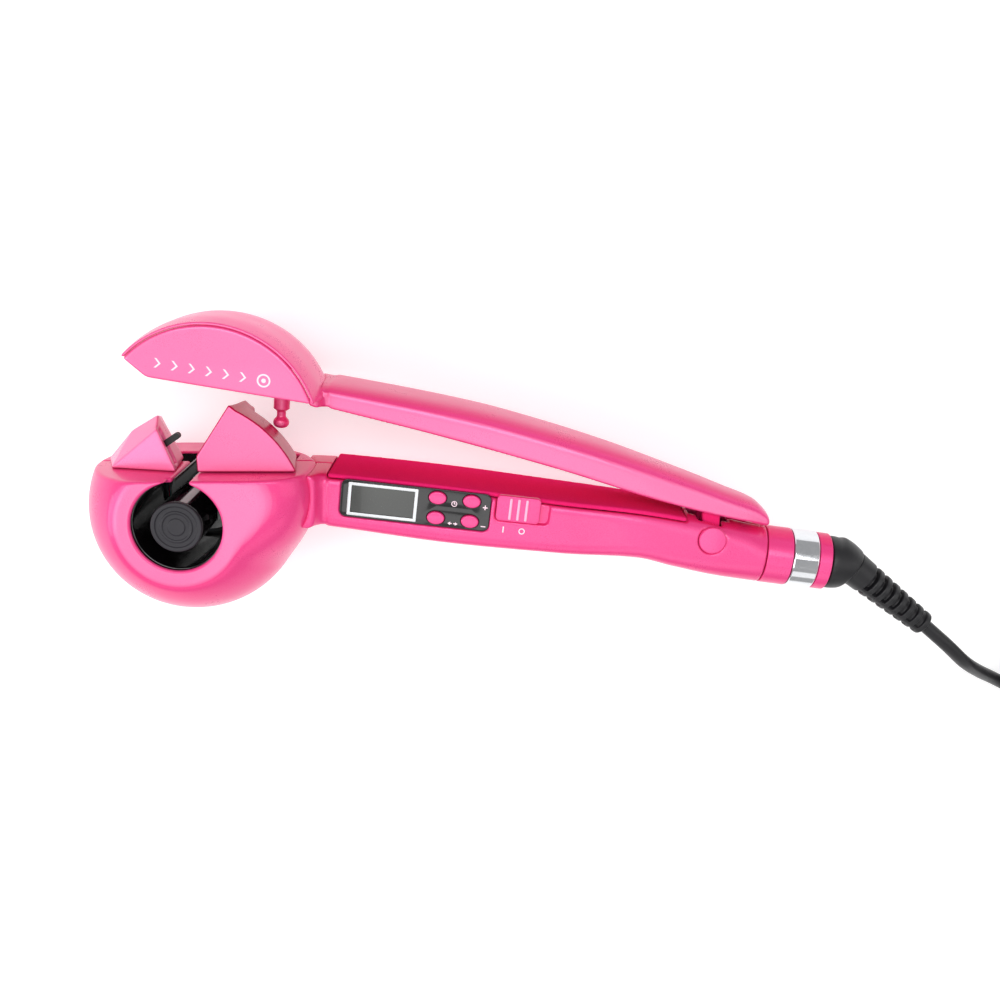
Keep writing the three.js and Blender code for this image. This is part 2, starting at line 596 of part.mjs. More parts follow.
// ---- Upper arm ----
const jawRoom = drum(-GAP).intersect(aboveChord(-GAP));
const upperOuter = cut(armSolid(upper, upper.from, upper.to), jawRoom);
const upperInner = armSolid(upper, upper.from - 4, upper.to - 3, WALL);
const upperWay = strip(upper, 40, 214, -20, 2.3, 1.9);
add('upper_handle_shell', surface(cut(upperOuter, upperInner, upperWay)), pink());

const liningFrom = 58;
const liningTo = 212;
const lining = strip(upper, liningFrom, liningTo, 0.3, 2, 2.2);
const knuckle = (back, front) => {
  const neck = blockSolid(hinge.x - 3.4, hinge.x + 3.4, hinge.y, -1.4, back, front);
  return join(rodSolid(hinge.x, hinge.y, hinge.knuckle, back, front, 24), neck);
};
const liningSolid = cut(
  join(lining, knuckle(25, 28), knuckle(38, 41)),
  rodSolid(hinge.x, hinge.y, hinge.pin + RUN + 0.03, 0, 80, 20),
);
add('upper_handle_inner_cover', surface(liningSolid), deepPink());

// ---- Hinge ----
add('hinge_pin', rod(hinge.x, hinge.y, hinge.pin, 22.4, 43.6, 20), steel());
add('hinge_cap_front', rod(hinge.x, hinge.y, hinge.cap, 44.7, 46.2, 24, hinge.cap - 0.5), pink());
add('hinge_cap_rear', rod(hinge.x, hinge.y, hinge.cap - 0.5, 19.8, 21.3, 24, hinge.cap), pink());
const springSection = [[2.5, 28.5], [3.9, 28.5], [3.9, 37.5], [2.5, 37.5], [2.5, 28.5]];
const springCoil = solid(turnedUp(springSection, hinge.x, hinge.y, 20));
const springLegs = join(
  blockSolid(hinge.x - 15, hinge.x, hinge.y - 3.8, hinge.y - 2.7, 29, 30.1),
  blockSolid(hinge.x - 12, hinge.x, hinge.y + 2.7, hinge.y + 3.8, 36, 37.1),
);
const pinRoom = rodSolid(hinge.x, hinge.y, springSection[0][0], 20, 50, 20);
add('jaw_spring', surface(join(springCoil, cut(springLegs, pinRoom))), steel());

// ---- Tail: collar, bright ring, end ring, and the swivelling cord outlet ----
const tailFrame = new THREE.Group();
tailFrame.position.set(tail.x, tail.y, MID);
tailFrame.rotation.z = tail.turn * DEG;
part.add(tailFrame);

function tube(x0, x1, inner, outer) {
  return turned([[x0, inner], [x0, outer], [x1, outer], [x1, inner], [x0, inner]], 28);
}

add('tail_collar', tube(tailStart, -1.9, 8.6, tail.radius), pink(), tailFrame);
add('chrome_ring', tube(-1.6, 8.3, 8.6, tail.radius + 0.15), chrome(), tailFrame);
add('tail_end_ring', tube(8.6, 13.5, 8.6, tail.radius - 0.2), pink(), tailFrame);
const journal = 5;
add('swivel_bush', tube(-1, 7.4, journal + RUN + 0.03, 8.2), whitePlastic(), tailFrame);

const bootAxis = new THREE.Vector3(boot.tip[0] - boot.start[0], boot.tip[1] - boot.start[1], 0);
const bootLength = bootAxis.length();
const bootTurn = Math.atan2(bootAxis.y, bootAxis.x) / DEG;
const dome = turned([[-2.2, 0], [-2.2, 6.4], [-1.2, 6.4], [-1.2, journal], [7.8, journal],
  [7.8, 8.2], [13.8, 8.2], [14, 10.2], [18, 10.1], [22.6, 9], [26.4, 6.4], [28.6, 3], [29, 0]], 24);
const elbowBranch = turned([[-6, 0], [-6, boot.thick], [-GAP, boot.thick], [-GAP, 0]], 20);
const placeBoot = (geometry) => solid(geometry).rotate([0, 0, bootTurn]).translate([...boot.start, MID]);
const pastElbow = placeBoot(turned([[-GAP, 0], [-GAP, 20], [40, 20], [40, 0]], 12));
const elbow = cut(join(placeTail(solid(dome)), placeBoot(elbowBranch)), pastElbow);
add('swivel_elbow', surface(elbow), blackRubber());

// Strain relief: ribs along a taper.
const ribs = 7;
const ribHeight = 1.1;
const ribStep = bootLength / ribs;
const ribSection = Array.from({ length: ribs }, (_, i) => {
  const size = boot.thick + ((boot.thin - boot.thick) * i) / (ribs - 1);
  const start = i * ribStep;
  const root = size - ribHeight;
  if (i === ribs - 1) return [[start, root], [start + 0.2, size], [bootLength, size]];
  const end = start + ribStep * 0.66;
  return [[start, i ? root : size], [start + 0.2, size], [end, size], [end + 0.2, root]];
}).flat();
const bootSection = [[0, 0], ...ribSection, [bootLength, 0]];
add('cord_boot', surface(placeBoot(turned(bootSection, 20))), blackRubber());

// ---- Cord ----
function cordTube(points, steps) {
  const path = new THREE.CatmullRomCurve3(points.map((point) => new THREE.Vector3(...point)));
  const sides = 10;
  const section = new THREE.Shape(Array.from({ length: sides }, (_, i) => {
    const angle = (i / sides) * 2 * Math.PI;
    return new THREE.Vector2(cord.radius * Math.cos(angle), cord.radius * Math.sin(angle));
  }));
  return new THREE.ExtrudeGeometry(section, { extrudePath: path, steps, bevelEnabled: false });
}

// The lead comes down to the surface and runs on to the coil's outside turn.
const lead = [[289.3, -52.12, MID], [298, -60, 32.2], [308, -69.4, 27], [319, -78, 17], [331, -86, 7.6],
  [345.2, -94.6, cord.low]];
add('cord_lead', cordTube(lead, 10), blackRubber());
const coilSection = [[coil.inner + 2, coil.back], [coil.outer - 2, coil.back], [coil.outer, coil.back + 2],
  [coil.outer, coil.front - 2], [coil.outer - 2, coil.front], [coil.inner + 2, coil.front],
  [coil.inner, coil.front - 2], [coil.inner, coil.back + 2], [coil.inner + 2, coil.back]];
add('cord_coil', turnedUp(coilSection, coil.x, coil.y, 28), blackRubber());

const tie = { thick: 0.8, wide: 5 };
const tieInner = roundedRectangle(
  coil.inner - GAP, coil.outer + GAP, coil.back - GAP, coil.front + GAP, 1, 1);
const tieOuter = roundedRectangle(coil.inner - GAP - tie.thick, coil.outer + GAP + tie.thick,
  coil.back - GAP - tie.thick, coil.front + GAP + tie.thick, 1.4, 1);
const tieLoop = slab(tieOuter, -tie.wide / 2, tie.wide / 2, [tieInner.slice().reverse()]);
tieLoop.rotateX(Math.PI / 2);
tieLoop.rotateZ(80 * DEG);
tieLoop.translate(coil.x, coil.y, 0);
add('coil_tie', tieLoop, blackRubber());

// The far end leaves the coil sideways and ends in a plug with two flat blades.
const plug = { x: 427, y: -76.2, z: 9.4, turn: 60 };
const plugFrame = new THREE.Group();
plugFrame.position.set(plug.x, plug.y, plug.z);
plugFrame.rotation.z = plug.turn * DEG;
part.add(plugFrame);
const plugLead = turned([[-1.2, 0], [-1.2, cord.radius], [13.7, cord.radius], [13.7, 0]], 12);
add('plug_lead', plugLead, blackRubber(), plugFrame);
const plugSection = [[-6.4, -8.6], [6.4, -8.6], [9, -6], [9, 6], [6.4, 8.6], [-6.4, 8.6], [-9, 6],
  [-9, -6]];
const plugRing = (x, scale) => plugSection.map(([y, z]) => [x, y * scale, z * scale]);
const plugBody = loft([plugRing(14, 0.42), plugRing(22, 0.5), plugRing(28, 0.86), plugRing(46, 1)]);
add('plug_body', plugBody, blackRubber(), plugFrame);
const blade = { spacing: 12.7, thick: 1.5, wide: 6.3, from: 46.3, to: 62 };
[-blade.spacing / 2, blade.spacing / 2].forEach((y, i) => {
  const flat = block(blade.from, blade.to, y - blade.thick / 2, y + blade.thick / 2,
    -blade.wide / 2, blade.wide / 2);
  add(`plug_blade_${i + 1}`, flat, brass(), plugFrame);
});

export default part;
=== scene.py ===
# %% [markdown]
# # An automatic hair curler, finished for looks
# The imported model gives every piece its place. This script keeps those places, and builds the
# visible pieces again as smooth, finely meshed solids with rounded edges. It then adds the cord,
# the printed marks, the materials, the lights and the camera.

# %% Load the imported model
import json
from math import cos, radians, sin

import bmesh
import bpy
import numpy as np
import openvdb
from mathutils import Matrix, Vector

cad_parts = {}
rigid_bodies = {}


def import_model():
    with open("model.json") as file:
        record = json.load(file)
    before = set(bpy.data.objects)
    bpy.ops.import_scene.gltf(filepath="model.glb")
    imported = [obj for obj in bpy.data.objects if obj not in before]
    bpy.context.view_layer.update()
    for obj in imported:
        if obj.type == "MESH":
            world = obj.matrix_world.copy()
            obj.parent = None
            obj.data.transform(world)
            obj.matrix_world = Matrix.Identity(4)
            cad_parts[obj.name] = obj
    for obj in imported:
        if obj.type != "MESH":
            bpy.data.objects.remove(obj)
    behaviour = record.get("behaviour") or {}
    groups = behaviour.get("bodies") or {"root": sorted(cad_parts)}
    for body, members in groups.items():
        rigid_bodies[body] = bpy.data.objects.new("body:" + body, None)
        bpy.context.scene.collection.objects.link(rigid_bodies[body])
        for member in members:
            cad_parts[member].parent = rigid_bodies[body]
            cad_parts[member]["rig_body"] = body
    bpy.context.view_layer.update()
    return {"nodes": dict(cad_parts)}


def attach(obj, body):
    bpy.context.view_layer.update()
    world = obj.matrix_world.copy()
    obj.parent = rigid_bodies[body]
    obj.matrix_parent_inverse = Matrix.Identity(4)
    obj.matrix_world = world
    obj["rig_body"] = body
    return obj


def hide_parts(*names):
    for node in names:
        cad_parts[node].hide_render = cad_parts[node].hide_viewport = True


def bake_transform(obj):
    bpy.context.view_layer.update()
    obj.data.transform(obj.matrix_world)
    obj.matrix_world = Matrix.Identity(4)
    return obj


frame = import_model()

# %% [markdown]
# ## Sizes
# Lengths are in millimetres, as in the part's own drawing, and become metres when a mesh is
# made. +X runs along the handle, +Y towards the jaw, and +Z out of the chamber's mouth.

# %% Driving sizes, shared with the part's drawing
MM = 0.001
MID = 33.0  # height of the parting plane of the head and both arms
WALL = 2.0
GAP = 0.3  # between pieces that touch
SEAM = 0.1  # between the two halves of a shell
HEAD = dict(radius=40.5, shoulder=49.5, flat=23.5, top=17.0, mouth=16.6)
CHAMBER = dict(bore=16.2, wall=1.4, slot=(-2.0, 5.5))
SCREWS = ((-16, -10), (12, -17), (-6, 12))
JAW = dict(x=13.0, y=33.3, radius=41.5, plate=39.2, front=64.0, back=2.0, wall=1.6,
           chord=(-7.1, 54.4), slope=-9.6, tip=-41.7)
HINGE = dict(x=198.3, y=-11.4, cap=5.3, eye=4.6)
PANEL = dict(x=85.6, y=4.15, turn=-6.5, face=51.0, half_long=28.0, half_high=7.2)
TAIL = dict(x=231.8, y=-22.0, turn=-7.7, radius=11.3, start=-11.9)
BOOT = dict(start=(256.2, -26.0), tip=(286.9, -50.2), thick=6.9, thin=4.8)
BUTTONS = {"mode": (8.0, 3.9), "plus": (20.8, 3.9), "timer": (8.0, -3.9), "minus": (20.8, -3.9)}
KEY = (3.3, 2.45)  # half the length and height of a button
KNOB = dict(x=38.4, y=2.9, half_long=8.2, half_high=4.9, travel=3.4, top=52.4)
DISPLAY = dict(x=-12.3, half_long=13.0, half_high=6.35)
print("jaw radius", JAW["radius"], "mm, head radius", HEAD["radius"], "mm")

# %% [markdown]
# ## The camera
# It looks down at the curler lying on its back, leaning 15.5 degrees towards the jaw.

# %% Camera
lean = radians(15.5)
distance, sensor = 0.440, 36
target = Vector((0.1172, 0.0012, MID * MM))
away = Vector((0, sin(lean), cos(lean)))
eye = target + distance * away
upward = Vector((0, cos(lean), -sin(lean)))
rightward = upward.cross(away)
camera = bpy.data.objects.new("camera", bpy.data.cameras.new("camera"))
camera.data.sensor_width = sensor
camera.data.lens = 1.13 * sensor
camera.matrix_world = Matrix((
    (rightward.x, upward.x, away.x, eye.x),
    (rightward.y, upward.y, away.y, eye.y),
    (rightward.z, upward.z, away.z, eye.z),
    (0, 0, 0, 1),
))
bpy.context.scene.collection.objects.link(camera)
bpy.context.scene.camera = camera
print("camera at", tuple(round(v, 3) for v in eye))

# %% [markdown]
# ## Materials
# `Wire` wraps one socket, so shader maths reads like arithmetic. `Paint` is one material:
# its `node` method adds any node by type, with its settings and its inputs.


# %% Shader helpers
class Wire:
    """One output socket, which adds and multiplies like a number."""

    def __init__(self, paint, socket):
        self.paint = paint
        self.socket = socket

    def maths(self, operation, first, second):
        return self.paint.node("ShaderNodeMath", {"operation": operation}, first, second)

    def __add__(self, other):
        return self.maths("ADD", self, other)

    def __radd__(self, other):
        return self.maths("ADD", other, self)

    def __mul__(self, other):
        return self.maths("MULTIPLY", self, other)

    def __rmul__(self, other):
        return self.maths("MULTIPLY", other, self)


class Paint:
    """A material built from nodes, ending in one Principled shader."""

    def __init__(self, name, uniform=None):
        self.material = bpy.data.materials.new(name)
        self.material.use_nodes = True
        self.tree = self.material.node_tree
        self.shader = self.tree.nodes["Principled BSDF"]
        for socket, value in (uniform or {}).items():
            self.shader.inputs[socket].default_value = value
        self.place = self.node("ShaderNodeTexCoord", {}, out="Object")

    def node(self, kind, settings, *values, out=0, at=None, **named):
        """Adds a node. Its inputs are given in order, by number in at, or by name."""
        added = self.tree.nodes.new(kind)
        for key, value in settings.items():
            setattr(added, key, value)
        by_name = ((key.replace("_", " ").title(), value) for key, value in named.items())
        inputs = [*enumerate(values), *(at or {}).items(), *by_name]
        for key, value in inputs:
            if isinstance(value, Wire):
                self.tree.links.new(value.socket, added.inputs[key])
            else:
                added.inputs[key].default_value = value
        return Wire(self, added.outputs[out])

    def noise(self, per_metre, detail=2.0, roughness=0.5):
        return self.node("ShaderNodeTexNoise", {}, vector=self.place, scale=per_metre,
                         detail=detail, roughness=roughness)

    def spread(self, wire, low, high, to_low, to_high):
        """Maps low..high onto to_low..to_high."""
        return self.node("ShaderNodeMapRange", {}, wire, low, high, to_low, to_high)

    def mix(self, factor, first, second):
        return self.node("ShaderNodeMix", {"data_type": "RGBA"}, out=2,
                         at={0: factor, 6: first, 7: second})

    def facing(self, direction, low, high):
        """Grows from 0 to 1 as the surface turns to look along a direction."""
        look = self.node("ShaderNodeTexCoord", {}, out="Normal")
        share = self.node("ShaderNodeVectorMath", {"operation": "DOT_PRODUCT"}, look, direction,
                          out="Value")
        return self.spread(share, low, high, 0, 1)

    def bump(self, height, strength, distance):
        return self.node("ShaderNodeBump", {}, strength=strength, distance=distance, height=height)

    def set(self, **wires):
        for name, wire in wires.items():
            self.tree.links.new(wire.socket, self.shader.inputs[name.replace("_", " ").title()])
        return self


def linear(code):
    """A six-digit colour as linear red, green, blue and alpha."""
    channels = [int(code[i:i + 2], 16) / 255 for i in (0, 2, 4)]
    return (*(c / 12.92 if c <= 0.04045 else ((c + 0.055) / 1.055) ** 2.4 for c in channels), 1.0)


# %% [markdown]
# Pearl lacquer: two close pinks drift over the surface, tiny flakes change its brightness a
# little, and a clear coat lies on top with the faint unevenness of sprayed paint. Light and
# shade are painted into its colour: faces that look forwards are a paler, painted lit pink,
# the others a darker, painted shaded pink, and faces that look towards the jaw, like the
# insides of the handles, a deeper pink of painted shade.


# %% Pearl lacquer
def pearl(name, front, side, inner=None, turn=0.82, roughness=0.28, metallic=0.1, coat=0.3,
          gloss=0.15):
    """front, side and inner are pairs, light and dark. Past turn, a face counts as front."""
    paint = Paint(name, {"Coat Weight": coat, "Coat Roughness": 0.06, "Specular IOR Level": gloss})
    drift = paint.spread(paint.noise(9, 3), 0.35, 0.65, 0, 1)
    flakes = paint.node("ShaderNodeTexVoronoi", {}, vector=paint.place, scale=4200.0, out="Color")
    sparkle = paint.spread(paint.node("ShaderNodeSeparateColor", {}, flakes), 0, 1, 0, 1)
    share = drift * 0.35 + sparkle * 0.30 + 0.15

    def between(pair):
        light, dark = (linear(code) for code in pair)
        return paint.mix(share, dark, light)

    # Painted light: faces that look forwards (+Z) get the lit pink, the others the shaded pink.
    tone = paint.mix(paint.facing((0, 0, 1), turn, turn * 0.1 + 0.9), between(side), between(front))
    # Painted shade: faces that look along +Y, towards the jaw, get a deeper pink.
    if inner:
        tone = paint.mix(paint.facing((0, 1, 0), 0.7, 0.85), tone, between(inner))
    handling = paint.spread(paint.noise(55, 4, 0.6), 0.3, 0.7, -0.03, 0.04)
    lacquer = paint.bump(paint.noise(420, 2), 0.06, 0.0002)
    return paint.set(base_color=tone, roughness=handling + sparkle * 0.05 + roughness,
                     metallic=sparkle * 0.12 + metallic, normal=lacquer).material


# Painted light and shade: each lacquer pairs a lit pink for faces that look forwards with a shaded
# pink for the rest, and some add a deeper shaded pink for faces that look towards the jaw. The
# head's lit pink keeps to its nearly flat front.
lit_pink, shaded_side_pink = ("ff84b5", "f66ea5"), ("f5559a", "ea3479")
shaded_pink, pale_pink, black = ("f4307a", "da185f"), ("ffc4dd", "ffa3c9"), ("100e10", "080608")
matt = dict(metallic=0.0, coat=0.0, gloss=0.0)
pink = pearl("pearl_pink_lacquer", ("fc68a8", "f03a80"), ("f44c92", "e62f76"), shaded_pink)
pale = pearl("pale_pearl_lacquer", lit_pink, shaded_side_pink)
arm_pink = pearl("upper_arm_lacquer", lit_pink, shaded_side_pink, ("ee4084", "dc286c"))
head_pink = pearl("head_lacquer", lit_pink, shaded_side_pink, turn=0.965)
# Painted light: the wedge takes the paler lit pink on every face, a painted sheen.
wedge_lit_pink = pearl("wedge_lacquer_painted_light", lit_pink, lit_pink)
# Painted shade: the tooth's sides, in the jaw's shadow, take a dark crimson.
tooth_lit_and_shaded_pink = pearl("tooth_lacquer_painted_shade", lit_pink, ("cc1a5c", "ae0c48"))
# Painted shade: the inner covers take a matt, deeper pink that stands in for their shade.
painted_shade_pink = pearl("painted_shade_pink_lacquer", shaded_pink, shaded_pink, roughness=0.55, **matt)
# Painted shadow: a matt black with no reflection, for the sheet that stands in for shade in the
# slot.
shadow_black = pearl("matt_black_painted_shadow", black, black, roughness=0.6, **matt)
blush = pearl("pale_pink_lacquer", pale_pink, pale_pink)
print("lacquers:", len(bpy.data.materials), "materials so far")


# %% [markdown]
# Moulded plastic and rubber: a fine grain in the mould, a little grime in the roughness, and
# for rubber a softer, greyer bloom.


# %% Plastics and rubber
def moulded(name, light, dark, roughness, grain, coat=0.0, depth=0.00006):
    paint = Paint(name, {"Coat Weight": coat, "Coat Roughness": 0.05})
    cloud = paint.spread(paint.noise(38, 4, 0.6), 0.3, 0.7, 0, 1)
    speck = paint.noise(grain, 3, 0.6)
    tone = paint.mix(cloud * 0.7 + speck * 0.3, linear(dark), linear(light))
    worn = paint.spread(paint.noise(120, 4, 0.7), 0.3, 0.7, -0.05, 0.07)
    return paint.set(base_color=tone, roughness=worn + roughness,
                     normal=paint.bump(speck, 0.35, depth)).material


gloss_black = moulded("gloss_black_plastic", *black, 0.16, 900, 0.6, 0.00001)
charcoal = moulded("charcoal_heat_plastic", "26232b", "1c1a20", 0.5, 2600)
rubber = moulded("black_rubber", "18171b", "0e0d11", 0.42, 3000)
white = moulded("white_nylon", "e9e6df", "dcd8cf", 0.45, 1500)
dark_plastic = moulded("dark_plastic", "3f3f42", "313134", 0.5, 1800)
ink = moulded("pale_pink_ink", "ffe9f1", "ffd9e8", 0.5, 2000)
green = moulded("circuit_board", "1f7443", "175a34", 0.4, 1200)
print("plastics:", gloss_black.name, charcoal.name, rubber.name)


# %% [markdown]
# Metals: polished chrome with faint smears, drawn steel with fine streaks, and warm brass.


# %% Metals
def metal(name, light, dark, roughness, streak=(60, 60, 60)):
    paint = Paint(name, {"Metallic": 1.0})
    stretched = paint.node("ShaderNodeVectorMath", {"operation": "MULTIPLY"}, paint.place, streak)
    lines = paint.node("ShaderNodeTexNoise", {}, vector=stretched, scale=12.0, detail=4.0)
    smear = paint.spread(paint.noise(45, 3, 0.6), 0.35, 0.7, 0, 1)
    tone = paint.mix(smear * 0.5 + lines * 0.5, linear(dark), linear(light))
    wear = lines * 0.06 + smear * 0.05 + roughness
    scratches = paint.bump(lines, 0.2, 0.000004)
    return paint.set(base_color=tone, roughness=wear, normal=scratches).material


chrome = metal("polished_chrome", "f2f3f5", "d9dbe0", 0.05)
steel = metal("drawn_steel", "c9ccd0", "aeb2b8", 0.28, (20, 900, 900))
brass = metal("nickelled_brass", "d8c9a0", "b9a777", 0.25)
silver = metal("silver_frame", "eceef0", "d2d5d8", 0.3, (900, 20, 900))
print("metals:", chrome.name, steel.name, brass.name, silver.name)

# %% Display glass
glass_paint = Paint("display_glass", {"Coat Weight": 0.35, "Coat Roughness": 0.05})
fade = glass_paint.spread(glass_paint.noise(26, 2), 0.3, 0.7, 0, 1)
cells = glass_paint.node("ShaderNodeTexNoise", {}, vector=glass_paint.place, scale=2500.0,
                         detail=1.0)
glass_tone = glass_paint.mix(fade * 0.8 + cells * 0.2, linear("3c3d3c"), linear("525451"))
glass = glass_paint.set(base_color=glass_tone, roughness=cells * 0.1 + 0.2).material
print("display:", glass.name)

# %% [markdown]
# ## Solids as distance fields
# The large shells are described by how far each point of space is from their surface. Solids
# then join, meet and cut one another with rounded edges, like moulded plastic.


# %% A space of points
class Space:
    """Evenly spaced points in a box, in which a solid is a field: negative inside it."""

    def __init__(self, low, high, step):
        self.step = step * 1
        self.low = np.array(low, float) - 3 * self.step
        counts = np.ceil((np.array(high) - self.low) / self.step).astype(int) + 4
        self.shape = tuple(counts)
        axes = [self.low[i] + self.step * np.arange(counts[i]) for i in range(3)]
        self.x, self.y, self.z = np.meshgrid(*axes, indexing="ij", sparse=True)

    def even(self, level):
        """Makes a level that is zero on the surface grow by one for each millimetre."""
        level = np.broadcast_to(level, self.shape)
        slopes = np.gradient(level, self.step)
        return level / np.maximum(np.sqrt(sum(slope * slope for slope in slopes)), 1e-3)

    def along(self, x, y, turn):
        """Coordinates along and across a direction through (x, y)."""
        c, s = cos(radians(turn)), sin(radians(turn))
        across = self.x - x, self.y - y
        return c * across[0] + s * across[1], c * across[1] - s * across[0]

    def block(self, x0, x1, y0, y1, z0, z1, rounding=0.0):
        sides = [np.maximum(a - v, v - b) for v, a, b in
                 ((self.x, x0, x1), (self.y, y0, y1), (self.z, z0, z1))]
        return both(both(sides[0], sides[1], rounding), sides[2], rounding)

    def layer(self, low, high):
        """The slab between two heights along Z."""
        return np.maximum(low - self.z, self.z - high)

    def radius(self, x, y):
        """Distance from an upright axis."""
        return np.hypot(self.x - x, self.y - y)

    def sample(self, field, points):
        """The field at any points, between its own."""
        at = (points - self.low) / self.step
        base = np.clip(np.floor(at).astype(int), 0, np.array(self.shape) - 2)
        part = at - base
        total = 0
        for corner in np.ndindex(2, 2, 2):
            weight = np.prod(np.where(corner, part, 1 - part), axis=1)
            total = total + weight * field[tuple((base + corner).T)]
        return total

    def skin(self, name, field, softness=1):
        """A smooth mesh of the surface where the field is zero."""
        field = np.clip(np.broadcast_to(field, self.shape), -3, 3).astype(np.float32)
        for _ in range(softness):
            for axis in range(3):
                field = 0.5 * field + 0.25 * (np.roll(field, 1, axis) + np.roll(field, -1, axis))
        grid = openvdb.FloatGrid(3.0)
        grid.copyFromArray(field)
        points, faces = grid.convertToQuads(isovalue=0.0)
        points = self.low + points * self.step
        reach = 0.5 * self.step
        for _ in range(2):
            rises = [self.sample(field, points + step) - self.sample(field, points - step)
                     for step in reach * np.eye(3)]
            slope = np.stack(rises, axis=1) / (2 * reach)
            size = np.maximum((slope * slope).sum(1), 0.05)
            push = self.sample(field, points) / size
            points = points - np.clip(push, -reach, reach)[:, None] * slope
        return mesh_object(name, points * MM, faces)


def mesh_object(name, points, faces):
    """An object from arrays of points and four-sided faces, with its faces turned outwards."""
    a, b, c, d = (points[faces[:, i]] for i in range(4))
    volume = np.einsum("ij,ij->i", a + c, np.cross(b - a, c - a) + np.cross(c - a, d - a)).sum()
    if volume < 0:
        faces = faces[:, ::-1]
    mesh = bpy.data.meshes.new(name)
    mesh.vertices.add(len(points))
    mesh.vertices.foreach_set("co", np.ascontiguousarray(points, np.float32).ravel())
    mesh.loops.add(faces.size)
    mesh.loops.foreach_set("vertex_index", np.ascontiguousarray(faces, np.int32).ravel())
    mesh.polygons.add(len(faces))
    mesh.polygons.foreach_set("loop_start", np.arange(0, faces.size, 4, dtype=np.int32))
    mesh.update(calc_edges=True)
    mesh.validate()
    mesh.shade_smooth()
    made = bpy.data.objects.new(name, mesh)
    bpy.context.scene.collection.objects.link(made)
    return made


# %% Joining and cutting fields
def both(first, second, rounding=0.0):
    """What two solids share, with a rounded edge where they meet."""
    outer = np.hypot(np.maximum(first + rounding, 0), np.maximum(second + rounding, 0))
    return np.minimum(np.maximum(first, second), -rounding) + outer


def less(first, second, rounding=0.0):
    """The first solid without the second."""
    return both(first, -second, rounding)


def either(first, second, rounding=0.0):
    """Two solids as one, with a fillet where they meet."""
    return -both(-first, -second, rounding)


def smooth(t):
    s = np.clip(t, 0, 1)
    return s * s * (3 - 2 * s)


def through(points):
    """A smooth function through the given (x, value) points."""
    xs, ys = np.array(points, float).T
    ahead = np.minimum(np.arange(len(xs)) + 1, len(xs) - 1)
    behind = np.maximum(np.arange(len(xs)) - 1, 0)
    slopes = (ys[ahead] - ys[behind]) / (xs[ahead] - xs[behind])

    def value(x):
        i = np.clip(np.searchsorted(xs, x, side="right") - 1, 0, len(xs) - 2)
        width = xs[i + 1] - xs[i]
        t = np.clip((x - xs[i]) / width, 0, 1)
        start = ys[i] * (1 + 2 * t) * (1 - t) ** 2 + slopes[i] * width * t * (1 - t) ** 2
        return start + ys[i + 1] * t * t * (3 - 2 * t) - slopes[i + 1] * width * t * t * (1 - t)
    return value


def polygon(u, v, corners):
    """Distance from a closed outline, negative inside it."""
    nearest, sign = np.inf, 1.0
    for (x0, y0), (x1, y1) in zip(corners, corners[1:] + corners[:1]):
        ex, ey, wx, wy = x1 - x0, y1 - y0, u - x0, v - y0
        t = np.clip((wx * ex + wy * ey) / (ex * ex + ey * ey), 0, 1)
        nearest = np.minimum(nearest, (wx - ex * t) ** 2 + (wy - ey * t) ** 2)
        crossed = ((y0 <= v) != (y1 <= v)) & ((ex * wy > ey * wx) == (y1 > y0))
        sign = np.where(crossed, -sign, sign)
    return sign * np.sqrt(nearest)


def rectangle(u, v, half_long, half_high, corner):
    """Distance from a rectangle with rounded corners."""
    qu, qv = np.abs(u) - half_long + corner, np.abs(v) - half_high + corner
    outside = np.hypot(np.maximum(qu, 0), np.maximum(qv, 0))
    return outside + np.minimum(np.maximum(qu, qv), 0) - corner


def oval(u, v, half_long, half_high):
    size = np.hypot(u / half_long, v / half_high)
    return (size - 1) * half_high


def halves(space, shell):
    """The front and the rear half of a shell, parted at its middle plane."""
    return (both(shell, MID + SEAM / 2 - space.z, 0.25),
            both(shell, space.z - MID + SEAM / 2, 0.25))


# %% [markdown]
# Every new piece takes the place of imported nodes and rides on their body.


# %% Putting a piece in place
def stands_for(piece, material, *nodes, slot=None, body=None):
    piece.data.materials.clear()
    piece.data.materials.append(material)
    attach(piece, body or frame["nodes"][nodes[0]]["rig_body"])
    if nodes:
        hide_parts(*nodes)
    print(f"{piece.name}: {len(piece.data.polygons)} faces")
    return piece


# %% [markdown]
# ## The head
# A ball with a flat front and back, which grows a square shoulder towards the handle.


# %% Head shells
def head_ball(space):
    turn = np.degrees(np.arctan2(space.y, space.x))
    height = (space.z - MID) / MID
    share = smooth((height + 0.75) / 0.9) * smooth((turn + 35) / 56) * smooth((120 - turn) / 60)
    reach = HEAD["radius"] + (HEAD["shoulder"] - HEAD["radius"]) * share
    power = 2 + 3 * share
    full = MID / (1 - (HEAD["flat"] / reach) ** power) ** (1 / power)
    out = np.hypot(space.x, space.y) / reach
    return space.even((out ** power + (np.abs(height) * MID / full) ** power) ** (1 / power) - 1)


space = Space((-41, -41, 0), (51, 17, 66), 0.5)
ball = head_ball(space)
ends = space.layer(0, 2 * MID)
outer = both(both(ball, ends, 1.2), space.y - HEAD["top"], 0.7)
inner = both(both(ball + WALL, ends + WALL, 1), space.y - HEAD["top"] + WALL, 0.5)
shell = less(outer, inner)
shell = less(shell, space.block(*CHAMBER["slot"], 8, 30, 12, 80), 0.5)
shell = less(shell, space.block(-9.6, -1.6, 12, 30, 17.4, 32.2), 0.3)
mouth = both(space.radius(0, 0) - HEAD["mouth"], 60 - space.z)
shell = less(shell, mouth, 0.8)
shell = less(shell, space.block(22.2, 38, 12, 30, 22, 34), 0.3)
shell = less(shell, space.block(40, 60, -1, 12, 22, 44), 0.3)
for x, y in SCREWS:
    shell = less(shell, both(space.radius(x, y) - 2.9, space.z - 2.5), 0.3)
front, rear = halves(space, shell)
